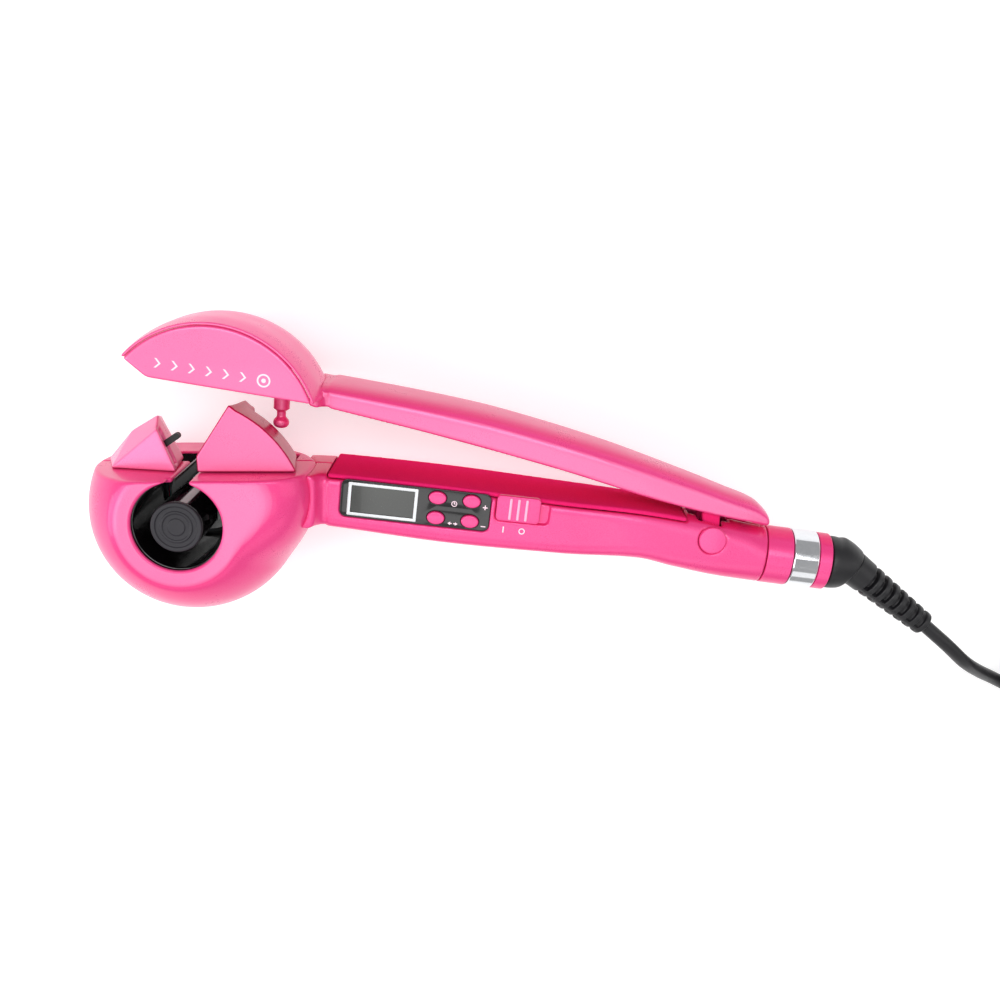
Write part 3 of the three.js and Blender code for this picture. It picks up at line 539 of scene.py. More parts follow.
stands_for(space.skin("head_front", front), head_pink, "head_front_shell")
stands_for(space.skin("head_rear", rear), head_pink, "head_rear_shell")

# %% [markdown]
# Two guides stand on the head's flat top: a tall tooth beside the slot, which the jaw's post
# comes down into, and a sharp wedge that leads the hair across to it.

# %% The tall tooth
def tooth_outline(radius, peak):
    apex = (18.6, peak)
    start = np.arcsin((HEAD["top"] + GAP) / radius)
    stop = np.arctan2(peak, apex[0] + 3.4)
    arc = [(radius * cos(a), radius * sin(a)) for a in np.linspace(start, stop, 24)]
    left = CHAMBER["slot"][1]
    return [(left, HEAD["top"] + GAP), *arc, apex, (left, 23.4)]


space = Space((5, 17, 25), (45, 43, 53), 0.4)
share = (space.z - 25) / 28
behind = polygon(space.x, space.y, tooth_outline(42.6, 39.4))
ahead = polygon(space.x, space.y, tooth_outline(45.6, 42.6))
side = behind * (1 - share) + ahead * share
depth = np.abs(space.z - 39) - 14
tooth = less(both(side, depth, 0.5), both(side + WALL, depth + WALL))
tooth = less(tooth, space.block(22.2, 60, 10, 60, 23.6, 33.4), 0.3)
stands_for(space.skin("tall_tooth", tooth), tooth_lit_and_shaded_pink, "hair_guide_right")

# %% The wedge
base = HEAD["top"] + GAP
corners = [(-34.2, base, 31), (-28.6, base, 46), (-2.6, base, 52), (-4.9, base, 31),
           (-9, 32.9, 50.2), (-11.4, 36.2, 39), (-22.6, 29.6, 36), (-12.6, 34.4, 31)]
hull = bmesh.new()
for corner in corners:
    hull.verts.new(corner)
bmesh.ops.convex_hull(hull, input=hull.verts)
hull.normal_update()
space = Space((-35, 17, 30), (-2, 37, 52.5), 0.35)
wedge = -np.inf
for face in hull.faces:
    n, at = face.normal, face.calc_center_median()
    plane = n.x * (space.x - at.x) + n.y * (space.y - at.y) + n.z * (space.z - at.z)
    wedge = np.maximum(wedge, plane)
hull.free()
wedge = less(wedge, both(wedge + WALL, 30 - space.y))
wedge = less(wedge, space.block(-9.8, 5, 19, 33, 44.2, 47.8), 0.2)
stands_for(space.skin("wedge", wedge, 2), wedge_lit_pink, "hair_guide_left")

# %% [markdown]
# ## The chamber
# A glossy black tube with cheeks that line the slot above it, and the barrel inside it.

# %% Chamber lining
space = Space((-18, -18, 11.5), (18, 17, 64), 0.4)
r = space.radius(0, 0)
bore, lining = CHAMBER["bore"], CHAMBER["bore"] + CHAMBER["wall"]
tube = both(np.abs(r - (bore + lining) / 2) - CHAMBER["wall"] / 2,
            np.abs(space.z - 40.4) - 23.2, 0.5)
tube = both(tube, space.y - HEAD["top"] + WALL + GAP, 0.2)
left, right = CHAMBER["slot"]
tube = less(tube, space.block(left + 0.6, right - 0.6, 5, 30, 10, 80), 0.2)
for x0, x1 in ((left + 0.05, left + 0.6), (right - 0.6, right - 0.05)):
    cheek = space.block(x0, x1, 13.6, 16.4, 17.4, 58, 0.1)
    tube = np.minimum(tube, both(cheek, 14.9 - r, 0.1))
tube = np.minimum(tube, space.block(left + 0.1, right - 0.1, 15.3, 16.6, 12.4, 16.8, 0.2))
stands_for(space.skin("chamber_lining", tube, 0), gloss_black, "chamber_liner")
# Painted shadow: a thin matt black sheet in the opening beside the slot, where there is only shade.
slot_shadow_sheet = space.block(left - 7.4, left + 0.2, 15.3, 16.4, 17.6, 32, 0.2)
stands_for(space.skin("painted_slot_shadow", slot_shadow_sheet), shadow_black, body="body", slot="gloss_black")


# %% [markdown]
# Turned pieces: an outline of (distance along the axis, radius) points turned about it, with a
# bevel that rounds its corners.


# %% Turned pieces
def turned(name, outline, place, sides=96, rounding=0.25):
    """place is a matrix that carries the +X axis of the outline to its real place, in mm."""
    angles = np.linspace(0, 2 * np.pi, sides, endpoint=False)
    mesh = bmesh.new()
    rings = []
    for x, radius in outline:
        if radius < 1e-6:
            rings.append([mesh.verts.new(place @ Vector((x, 0, 0)) * MM)])
        else:
            rings.append([mesh.verts.new(place @ Vector((x, radius * cos(a), radius * sin(a))) * MM)
                          for a in angles])
    pairs = list(zip(rings, rings[1:]))
    if outline[0][1] > 0:
        pairs.append((rings[-1], rings[0]))
    for one, two in pairs:
        for k in range(sides):
            j = (k + 1) % sides
            corners = [one[k % len(one)], one[j % len(one)], two[j % len(two)], two[k % len(two)]]
            mesh.faces.new(list(dict.fromkeys(corners)))
    bmesh.ops.recalc_face_normals(mesh, faces=mesh.faces)
    return finished(name, mesh, rounding)


def finished(name, mesh, rounding, angle=25):
    """An object from a bmesh, with smooth faces and bevelled corners."""
    data = bpy.data.meshes.new(name)
    mesh.to_mesh(data)
    mesh.free()
    data.shade_smooth()
    data.set_sharp_from_angle(angle=radians(angle))
    made = bpy.data.objects.new(name, data)
    bpy.context.scene.collection.objects.link(made)
    if rounding:
        bevel = made.modifiers.new("rounded corners", "BEVEL")
        bevel.width = rounding * MM
        bevel.segments = 3
        bevel.limit_method = "ANGLE"
        bevel.angle_limit = radians(angle)
        bevel.harden_normals = True
    return made


def upright(x, y):
    """Carries the outline's +X axis to +Z through (x, y)."""
    return Matrix.Translation((x, y, 0)) @ Matrix.Rotation(-np.pi / 2, 4, "Y")


# %% Barrel, its end cap and its screws
barrel = [(20, 8), (20, 9.5), (64.4, 9.5), (64.4, 8)]
stands_for(turned("barrel", barrel, upright(0, 0)), gloss_black, "heater_barrel")
cap = [(64.7, 0), (64.7, 9.4), (65.6, 9.4), (66, 9.0), (66, 7.9), (65.5, 7.5), (65.5, 6.1),
       (65.9, 5.8), (65.9, 5.2), (65.5, 4.8), (65.5, 3.4), (65.9, 3.0), (65.9, 0)]
stands_for(turned("barrel_cap", cap, upright(0, 0), rounding=0.14), charcoal, "barrel_end_cap")
screw_outline = [(0.4, 0), (0.4, 1.1), (0.9, 1.2), (0.9, 1.5), (0.4, 1.7), (0.5, 2.3), (0.9, 2.6),
                 (1.6, 2.6), (1.6, 1.2), (9.6, 1.2), (9.6, 0)]
for number, (x, y) in enumerate(SCREWS, 1):
    screw = turned(f"case_screw_{number}", screw_outline, upright(x, y), 48, 0.08)
    stands_for(screw, steel, f"head_screw_{number}")

# %% [markdown]
# ## The jaw
# A domed drum cut by a chord, with a clipped tip and a flat face plate.

# %% Jaw shell and face plate
jaw_radius = through([(2, 27.5), (6, 31.7), (13, 35.9), (21, 38.9), (33, 41.2),
                      (45, JAW["radius"]), (54, 41.4), (64, 40.3)])


def above_chord(space):
    _, main = space.along(*JAW["chord"], JAW["slope"])
    _, tip = space.along(*JAW["chord"], JAW["tip"])
    return both(-main, -tip, 0.6)


def jaw_drum(space):
    return space.even(space.radius(JAW["x"], JAW["y"]) - jaw_radius(space.z))


space = Space((-28, 34, 2), (55, 75, 64), 0.5)
drum = jaw_drum(space)
open_side = above_chord(space)
back_and_front = space.layer(JAW["back"], JAW["front"])
outside = both(both(drum, back_and_front, 0.7), open_side, 0.35)
inside = both(drum + JAW["wall"], back_and_front + JAW["wall"], 1)
r = space.radius(JAW["x"], JAW["y"])
recess = both(r - JAW["plate"] - 0.1, JAW["front"] - 2.3 - space.z)
shell = less(less(outside, inside), recess, 0.2)
stands_for(space.skin("jaw_dome", shell), pale, "jaw_shell")
slab = space.layer(JAW["front"] - 2, JAW["front"])
plate = both(both(r - JAW["plate"], slab, 0.25), open_side, 0.3)
stands_for(space.skin("jaw_face", plate), pale, "jaw_face_plate")

# %% The jaw's post
post_place = (Matrix.Translation((32.6, 29.2, 28.8))
              @ Matrix.Rotation(radians(JAW["slope"] / 2 + 90), 4, "Z"))
post = [(0, 0), (0, 1.6), (0.5, 2.5), (1.3, 3.0), (2.3, 3.1), (3.2, 2.8), (3.9, 2.1), (4.5, 1.75),
        (6.4, 1.75), (7.0, 2.4), (7.4, 3.1), (34, 3.1), (34, 0)]
stands_for(turned("jaw_post_pin", post, post_place, 48), pale, "jaw_post")

# %% [markdown]
# ## The two arms
# A rounded section is swept along X between a top line and a bottom line.

# %% Lines of the arms
lower = dict(
    top=through([(30, 17), (44, 17), (54, 16.4), (96, 11.7), (140, 5.6), (170, 1.5), (192, -2.9),
                 (219, -9)]),
    bottom=through([(38, -4.4), (50, -5.2), (96, -11.9), (140, -16.4), (170, -19.4), (184, -23.6),
                    (200, -28), (219, -31.6)]),
    depth=through([(38, 17), (56, 18), (138, 18), (170, 15.8), (196, 12.9), (219, 11.3)]),
    above=through([(30, 6), (138, 6), (170, 4.6), (200, 3.6), (212, 2.8), (219, 2)]),
    below=through([(30, 6), (138, 6), (170, 4), (200, 2.6), (219, 2)]),
)
upper = dict(
    top=through([(44, 50.8), (64, 47.4), (94, 41.7), (117, 36.4), (156, 24.6), (187, 13.2),
                 (205, 6), (216, 1.4), (221.4, -3.6)]),
    bottom=through([(44, 42.6), (64, 37.4), (94, 29.5), (140, 16.1), (171, 5.7), (187, 0.9),
                    (203, -3.4), (221.4, -8.2)]),
    depth=through([(44, 16.6), (80, 16.6), (140, 15.6), (187, 12.6), (210, 10.4), (221.4, 7.4)]),
    above=through([(44, 3.4), (187, 2.8), (219, 2.4)]),
    below=through([(44, 8), (187, 8), (221.4, 3)]),
)


def arm(space, line, flare=0.0):
    """The arm's solid. A flare deepens its front half."""
    top, bottom, deep = (line[key](space.x) for key in ("top", "bottom", "depth"))
    deep = np.where(space.z > MID, deep + flare, deep)
    middle, high = (top + bottom) / 2, (top - bottom) / 2
    rise = space.y - middle
    power = np.where(rise > 0, line["above"](space.x), line["below"](space.x))
    level = (np.abs(rise) / high) ** power + (np.abs(space.z - MID) / deep) ** power
    return space.even(level ** (1 / power) - 1)


def necked(space, line, edge, lean, length, rise):
    """The arm with a hollow neck before its starting edge, which rises to the head or the jaw."""
    before = edge + lean * space.y - space.x
    neck = arm(space, line, rise * np.clip(before / length, 0, 1.2) ** 2) + 0.5
    return np.where(before > 0, neck, both(arm(space, line), before))


def strip(space, edge, x0, x1, low, high, side):
    """A long flat bar that follows a line of the arm."""
    y = edge(space.x)
    across = np.maximum(y + low - space.y, space.y - y - high)
    return both(np.maximum(x0 - space.x, space.x - x1), np.maximum(across, side), 0.2)


# %% Lower handle
space = Space((44, -34, 14), (220.5, 18, 52), 0.55)
solid = arm(space, lower)
head_room = both(both(head_ball(space), space.layer(0, 2 * MID)), space.y - HEAD["top"] - 4)
tail_along = space.along(TAIL["x"], TAIL["y"], TAIL["turn"])[0]
outer = less(necked(space, lower, 51.9, 0.05, 5.5, 9), head_room + 0.3)
outer = both(outer, tail_along - TAIL["start"] + GAP, 0.2)
inner = both(both(solid + WALL, space.x - 210), space.z - 47.2)
shell = less(outer, inner)
side = np.abs(space.z - MID) - lower["depth"](space.x)
shell = less(shell, strip(space, lower["top"], 52.7, 188.6, -2.4, 4, side + 0.9), 0.1)
hinge = space.radius(HINGE["x"], HINGE["y"])
for z0, z1 in ((20.6, 24.2), (41.8, 45.4)):
    boss = both(hinge - HINGE["eye"], space.layer(z0, z1))
    shell = np.minimum(shell, both(boss, outer + 0.5))
for x0, x1, z0, z1 in ((190, 205.6, 28.2, 37.8), (192.9, 202.4, 24.2, 41.8)):
    shell = less(shell, space.block(x0, x1, -12, 6, z0, z1))
for z0, z1 in ((44.4, 70), (-10, 21.6)):
    seat = both(hinge - HINGE["cap"] - 0.15, space.layer(z0, z1))
    shell = less(shell, seat, 0.1)
front, rear = halves(space, less(shell, hinge - 2.05))

# %% Pockets for the panel, the buttons and the switch
u, v = space.along(PANEL["x"], PANEL["y"], PANEL["turn"])
floor = PANEL["face"] - 1.4 - space.z
through_wall = 46 - space.z
pocket = both(rectangle(u, v, PANEL["half_long"] + 0.15, PANEL["half_high"] + 0.15, 2.4), floor)
front = less(front, pocket, 0.15)
for x, y in BUTTONS.values():
    front = less(front, both(oval(u - x, v - y, KEY[0] + 0.5, KEY[1] + 0.5), through_wall))
front = less(front, both(rectangle(u - DISPLAY["x"], v, 10, 4.4, 0.3), through_wall))
well_middle = KNOB["x"] + KNOB["travel"] / 2
well = rectangle(u - well_middle, v - KNOB["y"], KNOB["half_long"] + GAP + KNOB["travel"] / 2,
                 KNOB["half_high"] + GAP, 1.8)
front = less(front, both(well, floor), 0.25)
stem_slot = rectangle(u - well_middle, v - KNOB["y"], 5.7, 1.6, 0.2)
front = less(front, both(stem_slot, through_wall))
stands_for(space.skin("lower_handle_front", front), pink, "lower_handle_front_shell")
stands_for(space.skin("lower_handle_rear", rear), pink, "lower_handle_rear_shell")
cover = strip(space, lower["top"], 53, 188.3, -2.1, -0.3, side + 1.2)
stands_for(space.skin("lower_inner_cover", cover), painted_shade_pink, "lower_handle_inner_cover")

# %% Upper handle
space = Space((47, -9, 15), (222, 51.5, 51), 0.55)
solid = arm(space, upper)
drum = both(jaw_drum(space), space.layer(JAW["back"], JAW["front"]))
jaw_room = both(drum, above_chord(space)) + 0.4
outer = less(necked(space, upper, 56.4, -0.05, 3.2, 6), jaw_room)
outer = both(outer, np.maximum(47.6 - space.x, space.x - 221.2), 1.2)
side = np.abs(space.z - MID) - upper["depth"](space.x)
way = strip(space, upper["bottom"], 40, 214, -20, 2.3, side + 1.9)
shell = less(less(outer, both(solid + WALL, space.x - 218)), way, 0.2)
stands_for(space.skin("upper_handle", shell), arm_pink, "upper_handle_shell")
lining = strip(space, upper["bottom"], 58, 212, 0.3, 2, side + 2.2)
hinge = space.radius(HINGE["x"], HINGE["y"])
for z0, z1 in ((25, 28), (38, 41)):
    eye = both(hinge - HINGE["eye"], space.layer(z0, z1), 0.2)
    neck = space.block(HINGE["x"] - 3.4, HINGE["x"] + 3.4, HINGE["y"], -1.4, z0, z1)
    lining = np.minimum(lining, np.minimum(eye, neck))
lining = less(lining, hinge - 2.1)
stands_for(space.skin("upper_inner_cover", lining), painted_shade_pink, "upper_handle_inner_cover")

# %% Hinge caps
middle = upright(HINGE["x"], HINGE["y"])
front_cap = [(44.7, 0), (44.7, 5.3), (45.6, 5.3), (46.1, 4.9), (46.25, 3.5), (46.3, 0)]
rear_cap = [(2 * MID - z, size) for z, size in front_cap]
for end, outline in (("front", front_cap), ("rear", rear_cap)):
    disc = turned(f"hinge_cap_{end}_disc", outline, middle, rounding=0.12)
    stands_for(disc, pink, f"hinge_cap_{end}")


# %% [markdown]
# ## Display, buttons and switch
# Flat pieces are filled outlines, with their thickness and rounded edges. They are drawn in
# the panel's own frame.


# %% Flat pieces
panel_place = (Matrix.Translation((PANEL["x"], PANEL["y"], 0))
               @ Matrix.Rotation(radians(PANEL["turn"]), 4, "Z"))


def rounded_corners(x0, x1, y0, y1, corner, steps=10):
    centres = ((x1 - corner, y1 - corner, 0), (x0 + corner, y1 - corner, 90),
               (x0 + corner, y0 + corner, 180), (x1 - corner, y0 + corner, 270))
    turns = np.linspace(0, 90, steps)
    return [(cx + corner * cos(radians(start + t)), cy + corner * sin(radians(start + t)))
            for cx, cy, start in centres for t in turns]


def framed(x, half_long, half_high, corner):
    return rounded_corners(x - half_long, x + half_long, -half_high, half_high, corner, 4)


def around(x, y, half_long, half_high, steps=64):
    angles = np.linspace(0, 2 * np.pi, steps, endpoint=False)
    return [(x + half_long * cos(a), y + half_high * sin(a)) for a in angles]


def flat_piece(name, outlines, z0, z1, rounding=0.2, place=panel_place):
    """Fills the outlines, inner ones as holes, from z0 to z1."""
    curve = bpy.data.curves.new(name, "CURVE")
    curve.dimensions = "2D"
    curve.fill_mode = "BOTH"
    curve.extrude = max((z1 - z0) / 2 - rounding, 0) * MM
    curve.bevel_depth = rounding * MM
    curve.offset = -rounding * MM
    curve.bevel_resolution = 2
    for outline in outlines:
        spline = curve.splines.new("POLY")
        spline.points.add(len(outline) - 1)
        for point, (x, y) in zip(spline.points, outline):
            point.co = (x * MM, y * MM, 0, 1)
        spline.use_cyclic_u = True
    drawn = bpy.data.objects.new(name + "_drawn", curve)
    bpy.context.scene.collection.objects.link(drawn)
    bpy.context.view_layer.update()
    filled = drawn.evaluated_get(bpy.context.evaluated_depsgraph_get())
    data = bpy.data.meshes.new_from_object(filled)
    bpy.data.objects.remove(drawn)
    bpy.data.curves.remove(curve)
    lifted = place.copy()
    lifted.translation = lifted.translation * MM
    data.transform(lifted @ Matrix.Translation((0, 0, (z0 + z1) / 2 * MM)))
    mesh = bmesh.new()
    mesh.from_mesh(data)
    bpy.data.meshes.remove(data)
    bmesh.ops.remove_doubles(mesh, verts=mesh.verts, dist=1e-6)
    bmesh.ops.recalc_face_normals(mesh, faces=mesh.faces)
    return finished(name, mesh, 0, angle=35)


# %% Panel, display and buttons
long, high, face = PANEL["half_long"], PANEL["half_high"], PANEL["face"]
middle = DISPLAY["x"]
holes = [around(x, y, KEY[0] + 0.2, KEY[1] + 0.2) for x, y in BUTTONS.values()]
window = framed(middle, 12, 5.35, 0.4)
fascia = flat_piece("fascia", [rounded_corners(-long, long, -high, high, 2.4), window, *holes],
                    face - 1.1, face + 0.15)
stands_for(fascia, gloss_black, "display_panel")
rim = [framed(middle, DISPLAY["half_long"], DISPLAY["half_high"], 0.3),
       framed(middle, 11.8, 5.2, 0.2)]
stands_for(flat_piece("display_rim", rim, face + 0.2, face + 0.5, 0.1), silver, "lcd_frame")
pane = framed(middle, 11.7, 5.1, 0.2)
stands_for(flat_piece("display_pane", [pane], face - 0.9, face + 0.3, 0.05), glass, "lcd_glass")
for name, (x, y) in BUTTONS.items():
    key = flat_piece(f"{name}_key", [around(x, y, *KEY)], 47.6, 52, 0.55)
    stands_for(key, pink, f"button_{name}")

# %% Power switch
x, y = KNOB["x"], KNOB["y"]
long, high, top = KNOB["half_long"], KNOB["half_high"], KNOB["top"]
plate = rounded_corners(x - long, x + long, y - high, y + high, 1.6)
knob = flat_piece("switch_plate", [plate], face - 1.1, top, 0.4)
stands_for(knob, pink, "power_switch_knob")
for number, shift in enumerate((-3, 0, 3), 1):
    rib = rounded_corners(x + shift - 0.5, x + shift + 0.5, y - 4.1, y + 4.1, 0.4, 6)
    ridge = flat_piece(f"switch_ridge_{number}", [rib], top - 0.3, top + 0.5, 0.3)
    stands_for(ridge, blush, body="switch_knob", slot="pink_shell")


# %% [markdown]
# Printed marks: plus and minus beside two keys, a clock and a pair of arrows beside the other
# two, and the usual strokes for on and off under the switch.


# %% Marks
def bar(x, y, half_long, half_high):
    return [(x - half_long, y - half_high), (x + half_long, y - half_high),
            (x + half_long, y + half_high), (x - half_long, y + half_high)]


def mark(name, outlines, z, body="body", place=panel_place):
    piece = flat_piece(name, outlines, z - 0.02, z + 0.05, 0.02, place)
    return stands_for(piece, ink, body=body, slot="white_plastic")


ink_level = face + 0.15
plus = [(26 + a, 2 + b) for a, b in (
    (-0.9, -0.2), (-0.2, -0.2), (-0.2, -0.9), (0.2, -0.9), (0.2, -0.2), (0.9, -0.2),
    (0.9, 0.2), (0.2, 0.2), (0.2, 0.9), (-0.2, 0.9), (-0.2, 0.2), (-0.9, 0.2))]
mark("plus_mark", [plus], ink_level)
mark("minus_mark", [bar(26, -5.4, 0.9, 0.2)], ink_level)
mark("clock_mark", [around(14.4, 2.2, 1.1, 1.1, 40), around(14.4, 2.2, 0.8, 0.8, 40)], ink_level)
hands = [(14.2, 2.05), (15.0, 2.05), (15.0, 2.3), (14.5, 2.3), (14.5, 2.9), (14.2, 2.9)]
mark("clock_hands", [hands], ink_level)
arrow = [(12.6, -5.5), (13.6, -6.2), (13.6, -5.7), (14.2, -5.7), (14.2, -5.3), (13.6, -5.3),
         (13.6, -4.8)]
mirrored = [(29 - x, y) for x, y in [arrow[0], *arrow[:0:-1]]]
mark("arrow_left", [arrow], ink_level)
mark("arrow_right", [mirrored], ink_level)


def handle_front(x, y):
    """Height of the lower handle's front surface at a point of the panel's frame."""
    at = panel_place @ Vector((x, y, 0))
    lines = ("top", "bottom", "depth", "above")
    top, bottom, deep, power = (float(lower[line](at.x)) for line in lines)
    share = abs(at.y - (top + bottom) / 2) / ((top - bottom) / 2)
    return MID + deep * (1 - share ** power) ** (1 / power)


on_at, off_at = (33.6, -5.6), (40.6, -5.6)
mark("on_mark", [bar(*on_at, 0.25, 1.2)], handle_front(*on_at) + 0.02)
mark("off_mark", [around(*off_at, 1.2, 1.2, 40), around(*off_at, 0.8, 0.8, 40)],
     handle_front(*off_at) + 0.02)

# %% [markdown]
# A plain sign on the jaw's face shows which side goes towards the hair: chevrons that
# point along the face to a ring.

# %% Sign on the jaw
sign_place = Matrix.Translation((20.0, 55.6, 0)) @ Matrix.Rotation(radians(JAW["slope"]), 4, "Z")
for number in range(6):
    x = -24 + 6 * number
    chevron = [(x, -1.7), (x + 0.8, -1.7), (x + 2.4, 0), (x + 0.8, 1.7), (x, 1.7), (x + 1.6, 0)]
    mark(f"sign_chevron_{number + 1}", [chevron], JAW["front"], "upper_arm", sign_place)
mark("sign_ring", [around(14.5, 0, 2.4, 2.4, 48), around(14.5, 0, 1.8, 1.8, 48)], JAW["front"],
     "upper_arm", sign_place)
mark("sign_dot", [around(14.5, 0, 0.8, 0.8, 32)], JAW["front"], "upper_arm", sign_place)

# %% [markdown]
# ## Tail, strain relief and cord

# %% Tail rings
tail_place = (Matrix.Translation((TAIL["x"], TAIL["y"], MID))
              @ Matrix.Rotation(radians(TAIL["turn"]), 4, "Z"))
start, radius = TAIL["start"], TAIL["radius"]
collar = [(start, 8.6), (start, radius), (-1.9, radius), (-1.9, 8.6)]
ring = [(-1.6, 8.6), (-1.6, 11.1), (-1.2, 11.45), (7.9, 11.45), (8.3, 11.1), (8.3, 8.6)]
end_ring = [(8.6, 8.6), (8.6, 11.1), (13.5, 11.1), (13.5, 8.6)]
stands_for(turned("tail_sleeve", collar, tail_place, 128, 0.3), pink, "tail_collar")
stands_for(turned("bright_ring", ring, tail_place, 128, 0.15), chrome, "chrome_ring")
stands_for(turned("end_ring", end_ring, tail_place, 128, 0.4), pink, "tail_end_ring")

# %% Swivel elbow
boot_along = Vector((*BOOT["tip"], 0)) - Vector((*BOOT["start"], 0))
boot_turn = np.degrees(np.arctan2(boot_along.y, boot_along.x))
space = Space((227, -37, 21), (262, -13, 45), 0.35)
across_x, across_y = space.along(TAIL["x"], TAIL["y"], TAIL["turn"])
radius = np.hypot(across_y, space.z - MID)
dome_radius = through([(13.8, 9.4), (14.4, 10.2), (18, 10.1), (22.6, 9), (26.4, 6.4), (28.6, 3),
                       (29, 0.4)])
dome = both(space.even(radius - dome_radius(across_x)),
            np.maximum(13.8 - across_x, across_x - 29), 0.4)
branch_x, branch_y = space.along(*BOOT["start"], boot_turn)
branch = both(np.hypot(branch_y, space.z - MID) - BOOT["thick"],
              np.maximum(-9 - branch_x, branch_x + GAP))
elbow = both(either(dome, branch, 2.0), branch_x + GAP)
for x0, x1, size in ((7.8, 14.2, 8.2), (-1.2, 8, 5), (-2.2, -1.2, 6.4)):
    elbow = np.minimum(elbow, both(radius - size, np.maximum(x0 - across_x, across_x - x1)))
stands_for(space.skin("swivel_elbow_moulding", elbow), rubber, "swivel_elbow")

# %% Strain relief: a taper cut by rings of slots, held together by two ribs
space = Space((255, -59, 26), (295, -20, 40), 0.28)
boot_x, boot_y = space.along(*BOOT["start"], boot_turn)
length = boot_along.length
taper = BOOT["thick"] + (BOOT["thin"] - BOOT["thick"]) * np.clip(boot_x / length, 0, 1)
out = np.hypot(boot_y, space.z - MID)
relief = both(out - taper, np.maximum(-boot_x, boot_x - length), 0.4)
pitch, first_slot, half_slot, slant = 4.5, 7.6, 1.1, radians(45)
ribs = np.abs(boot_y * cos(slant) + (space.z - MID) * sin(slant)) - 0.9
for number in range(7):
    start = first_slot + number * pitch
    ring_slot = both(3.7 - out, np.abs(boot_x - start - half_slot) - half_slot)
    relief = less(relief, less(ring_slot, ribs), 0.3)
stands_for(space.skin("strain_relief", relief, 0), rubber, "cord_boot")

# %% [markdown]
# The cord is 1.75 m long and 5.5 mm thick. It comes down from the strain relief to the surface,
# joins the outside of a neat coil, and leaves the coil sideways to the plug. The turns of the
# coil fill a square of three by three, one cell after another.

# %% Route of the cord
lead = [(286.2, -49.7, 33), (298, -60, 32.2), (308, -69.4, 27), (319, -78, 17), (331, -86, 7.6),
        (345.2, -94.6, 4)]
coil_middle = (384.0, -78.0)
cells = np.array([(36.5, 4), (31, 4), (25.5, 4), (25.5, 9.45), (25.5, 14.9), (31, 14.9), (31, 9.45),
                  (36.5, 9.45), (36.5, 14.9)])
first, last = 233.0, 330.0  # where the cord joins the coil and leaves it, in degrees
moves = [300, 300, 260, 260, 220, 180, 140, 100]  # where in its turn each change of cell begins
turns = len(moves)


def on_coil(angle):
    cell = sum(smooth((angle - 360 * k - start) / 68) for k, start in enumerate(moves))
    radius, z = (np.interp(cell, range(len(cells)), cells[:, i]) for i in (0, 1))
    turn = radians(first + angle)
    return (coil_middle[0] + radius * cos(turn), coil_middle[1] + radius * sin(turn), z)


coiled = [on_coil(angle) for angle in np.arange(0, 360 * turns + last - first + 1, 6)]
heading = np.array([-sin(radians(last)), cos(radians(last)), 0])
leaving = [np.array(coiled[-1]) + heading * d - np.array([0, 0, 5.5 * smooth(d / 34)])
           for d in np.arange(4, 38, 4)]


def spline_through(points, step=2.5):
    """Evenly spaced points on a smooth curve through the given points."""
    points = np.array(points, float)
    chord = np.concatenate([[0], np.cumsum(np.linalg.norm(np.diff(points, axis=0), axis=1))])
    lines = [through(list(zip(chord, points[:, i]))) for i in range(3)]
    fine = np.linspace(0, chord[-1], int(chord[-1] / step) + 1)
    return np.stack([line(fine) for line in lines], axis=1)


route = spline_through([*lead, *coiled, *leaving])
cord_length = np.linalg.norm(np.diff(route, axis=0), axis=1).sum()
print(f"cord centreline {cord_length:.0f} mm in {len(route)} points")


# %% Cord and plug
def cord_tube(name, route, radius, sides=20):
    """A tube along the route, with a ring of points at each of its points."""
    ahead = np.gradient(route, axis=0)
    ahead /= np.linalg.norm(ahead, axis=1)[:, None]
    side = np.cross(ahead, (0, 0, 1))
    side /= np.linalg.norm(side, axis=1)[:, None]
    rise = np.cross(side, ahead)
    angles = np.linspace(0, 2 * np.pi, sides, endpoint=False)
    rings = (route[:, None] + radius * (np.cos(angles)[None, :, None] * side[:, None]
                                        + np.sin(angles)[None, :, None] * rise[:, None]))
    mesh = bmesh.new()
    grid = [[mesh.verts.new(point * MM) for point in ring] for ring in rings]
    for one, two in zip(grid, grid[1:]):
        for k in range(sides):
            mesh.faces.new((one[k], one[(k + 1) % sides], two[(k + 1) % sides], two[k]))
    mesh.faces.new(grid[0])
    mesh.faces.new(grid[-1])
    bmesh.ops.recalc_face_normals(mesh, faces=mesh.faces)
    return finished(name, mesh, 0, angle=50)


mains_cord = cord_tube("mains_cord", route, 2.75)
mains_cord.data.materials.append(rubber)
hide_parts("cord_lead", "cord_coil", "plug_lead")
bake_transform(mains_cord)

space = Space((408, -72, 0), (466, -24, 19), 0.4)
plug_x, plug_y = space.along(427, -76.2, 60)
plug_z = space.z - 9.4
wide = through([(14, 4.4), (20, 4.7), (27, 7.6), (34, 9), (46, 9)])
thick = through([(14, 4.2), (20, 4.5), (27, 7.2), (34, 8.6), (46, 8.6)])
plug_level = (np.abs(plug_y) / wide(plug_x)) ** 4 + (np.abs(plug_z) / thick(plug_x)) ** 4
plug_solid = both(space.even(plug_level ** 0.25 - 1), np.maximum(14 - plug_x, plug_x - 46), 0.8)
neck, grip = 3.9 - np.hypot(plug_y, plug_z), 8.3 - np.abs(plug_y)
for places, depth in (((17, 19.6, 22.2), neck), ((31.5, 34.5, 37.5, 40.5), grip)):
    for x in places:
        plug_solid = less(plug_solid, both(np.abs(plug_x - x) - 0.5, depth), 0.2)
plug = stands_for(space.skin("plug_moulding", plug_solid), rubber, "plug_body")

# %% [markdown]
# ## The nodes that stay as they were packed
# Their shapes are right already, and they get their materials.

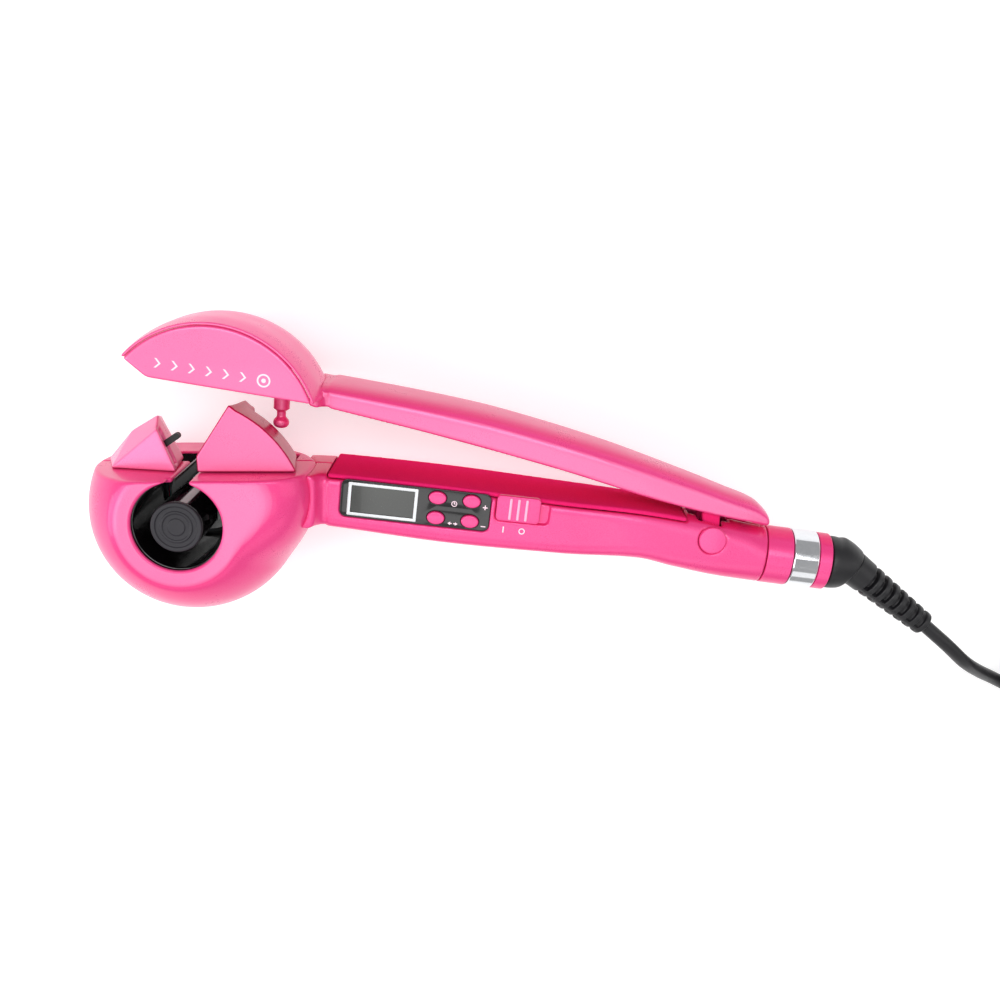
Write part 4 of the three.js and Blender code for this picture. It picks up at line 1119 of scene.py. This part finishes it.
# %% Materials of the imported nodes
kept = {
    rubber: ["hair_finger", "coil_tie", "jaw_switch", "power_switch_body"],
    steel: ["hair_finger_pin", "hinge_pin", "jaw_spring", "idler_axle", "motor", "motor_shaft"],
    brass: ["motor_pinion", "plug_blade_1", "plug_blade_2"],
    white: ["heating_element", "thermal_fuse", "rotor_gear", "idler_gear", "jaw_switch_plunger",
            "swivel_bush"],
    dark_plastic: ["barrel_stem", "gear_plate"],
    gloss_black: ["rotor"],
    green: ["control_board"],
}
for material, names in kept.items():
    for name in names:
        node = frame["nodes"][name]
        node.data.materials.clear()
        node.data.materials.append(material)
        bevel = node.modifiers.new("softened edges", "BEVEL")
        bevel.width = 0.15 * MM
        bevel.segments = 2
        bevel.limit_method = "ANGLE"
print("kept nodes:", sum(len(names) for names in kept.values()))

# %% [markdown]
# ## Floor and light
# A pale floor, a large soft light above the jaw's side, weaker ones in front, at both sides
# and low in front, and a pale sky that fills the shadows.

# %% Floor
floor_paint = Paint("pale_floor", {"Emission Color": (1, 1, 1, 1), "Emission Strength": 0.5})
shade = floor_paint.spread(floor_paint.noise(3, 3), 0.3, 0.7, 0, 1)
floor_tone = floor_paint.mix(shade, linear("cfcfcf"), linear("d6d6d6"))
floor_paint.set(base_color=floor_tone, roughness=shade * 0.05 + 0.6)
sheet = bmesh.new()
bmesh.ops.create_grid(sheet, x_segments=2, y_segments=2, size=4.0)
floor = finished("floor", sheet, 0)
floor.data.materials.append(floor_paint.material)


# %% Lights
def soft_light(name, at, size, power):
    lamp = bpy.data.lights.new(name, "AREA")
    lamp.shape = "RECTANGLE"
    lamp.size, lamp.size_y = size
    lamp.energy = power
    holder = bpy.data.objects.new(name, lamp)
    holder.location = at
    ahead = Vector((0.1, 0.0, 0.03)) - Vector(at)
    holder.rotation_euler = ahead.to_track_quat("-Z", "Y").to_euler()
    bpy.context.scene.collection.objects.link(holder)


soft_light("key_above", (0.1, 0.35, 1.0), (1.0, 0.4), 5)
soft_light("front_card", (0.1, -0.29, 1.0), (0.7, 0.4), 1.2)
soft_light("fill_left", (-0.8, -0.1, 0.6), (0.5, 1.0), 5)
soft_light("fill_right", (1.0, 0.0, 0.7), (0.5, 1.0), 1.5)
soft_light("low_front", (0.1, -0.8, 0.6), (1.4, 0.4), 1.2)
world = bpy.data.worlds.new("pale_room")
world.use_nodes = True
sky = world.node_tree.nodes["Background"].inputs
sky["Color"].default_value = (1, 1, 1, 1)
sky["Strength"].default_value = 0.42
bpy.context.scene.world = world
bpy.context.scene.view_settings.view_transform = "Standard"
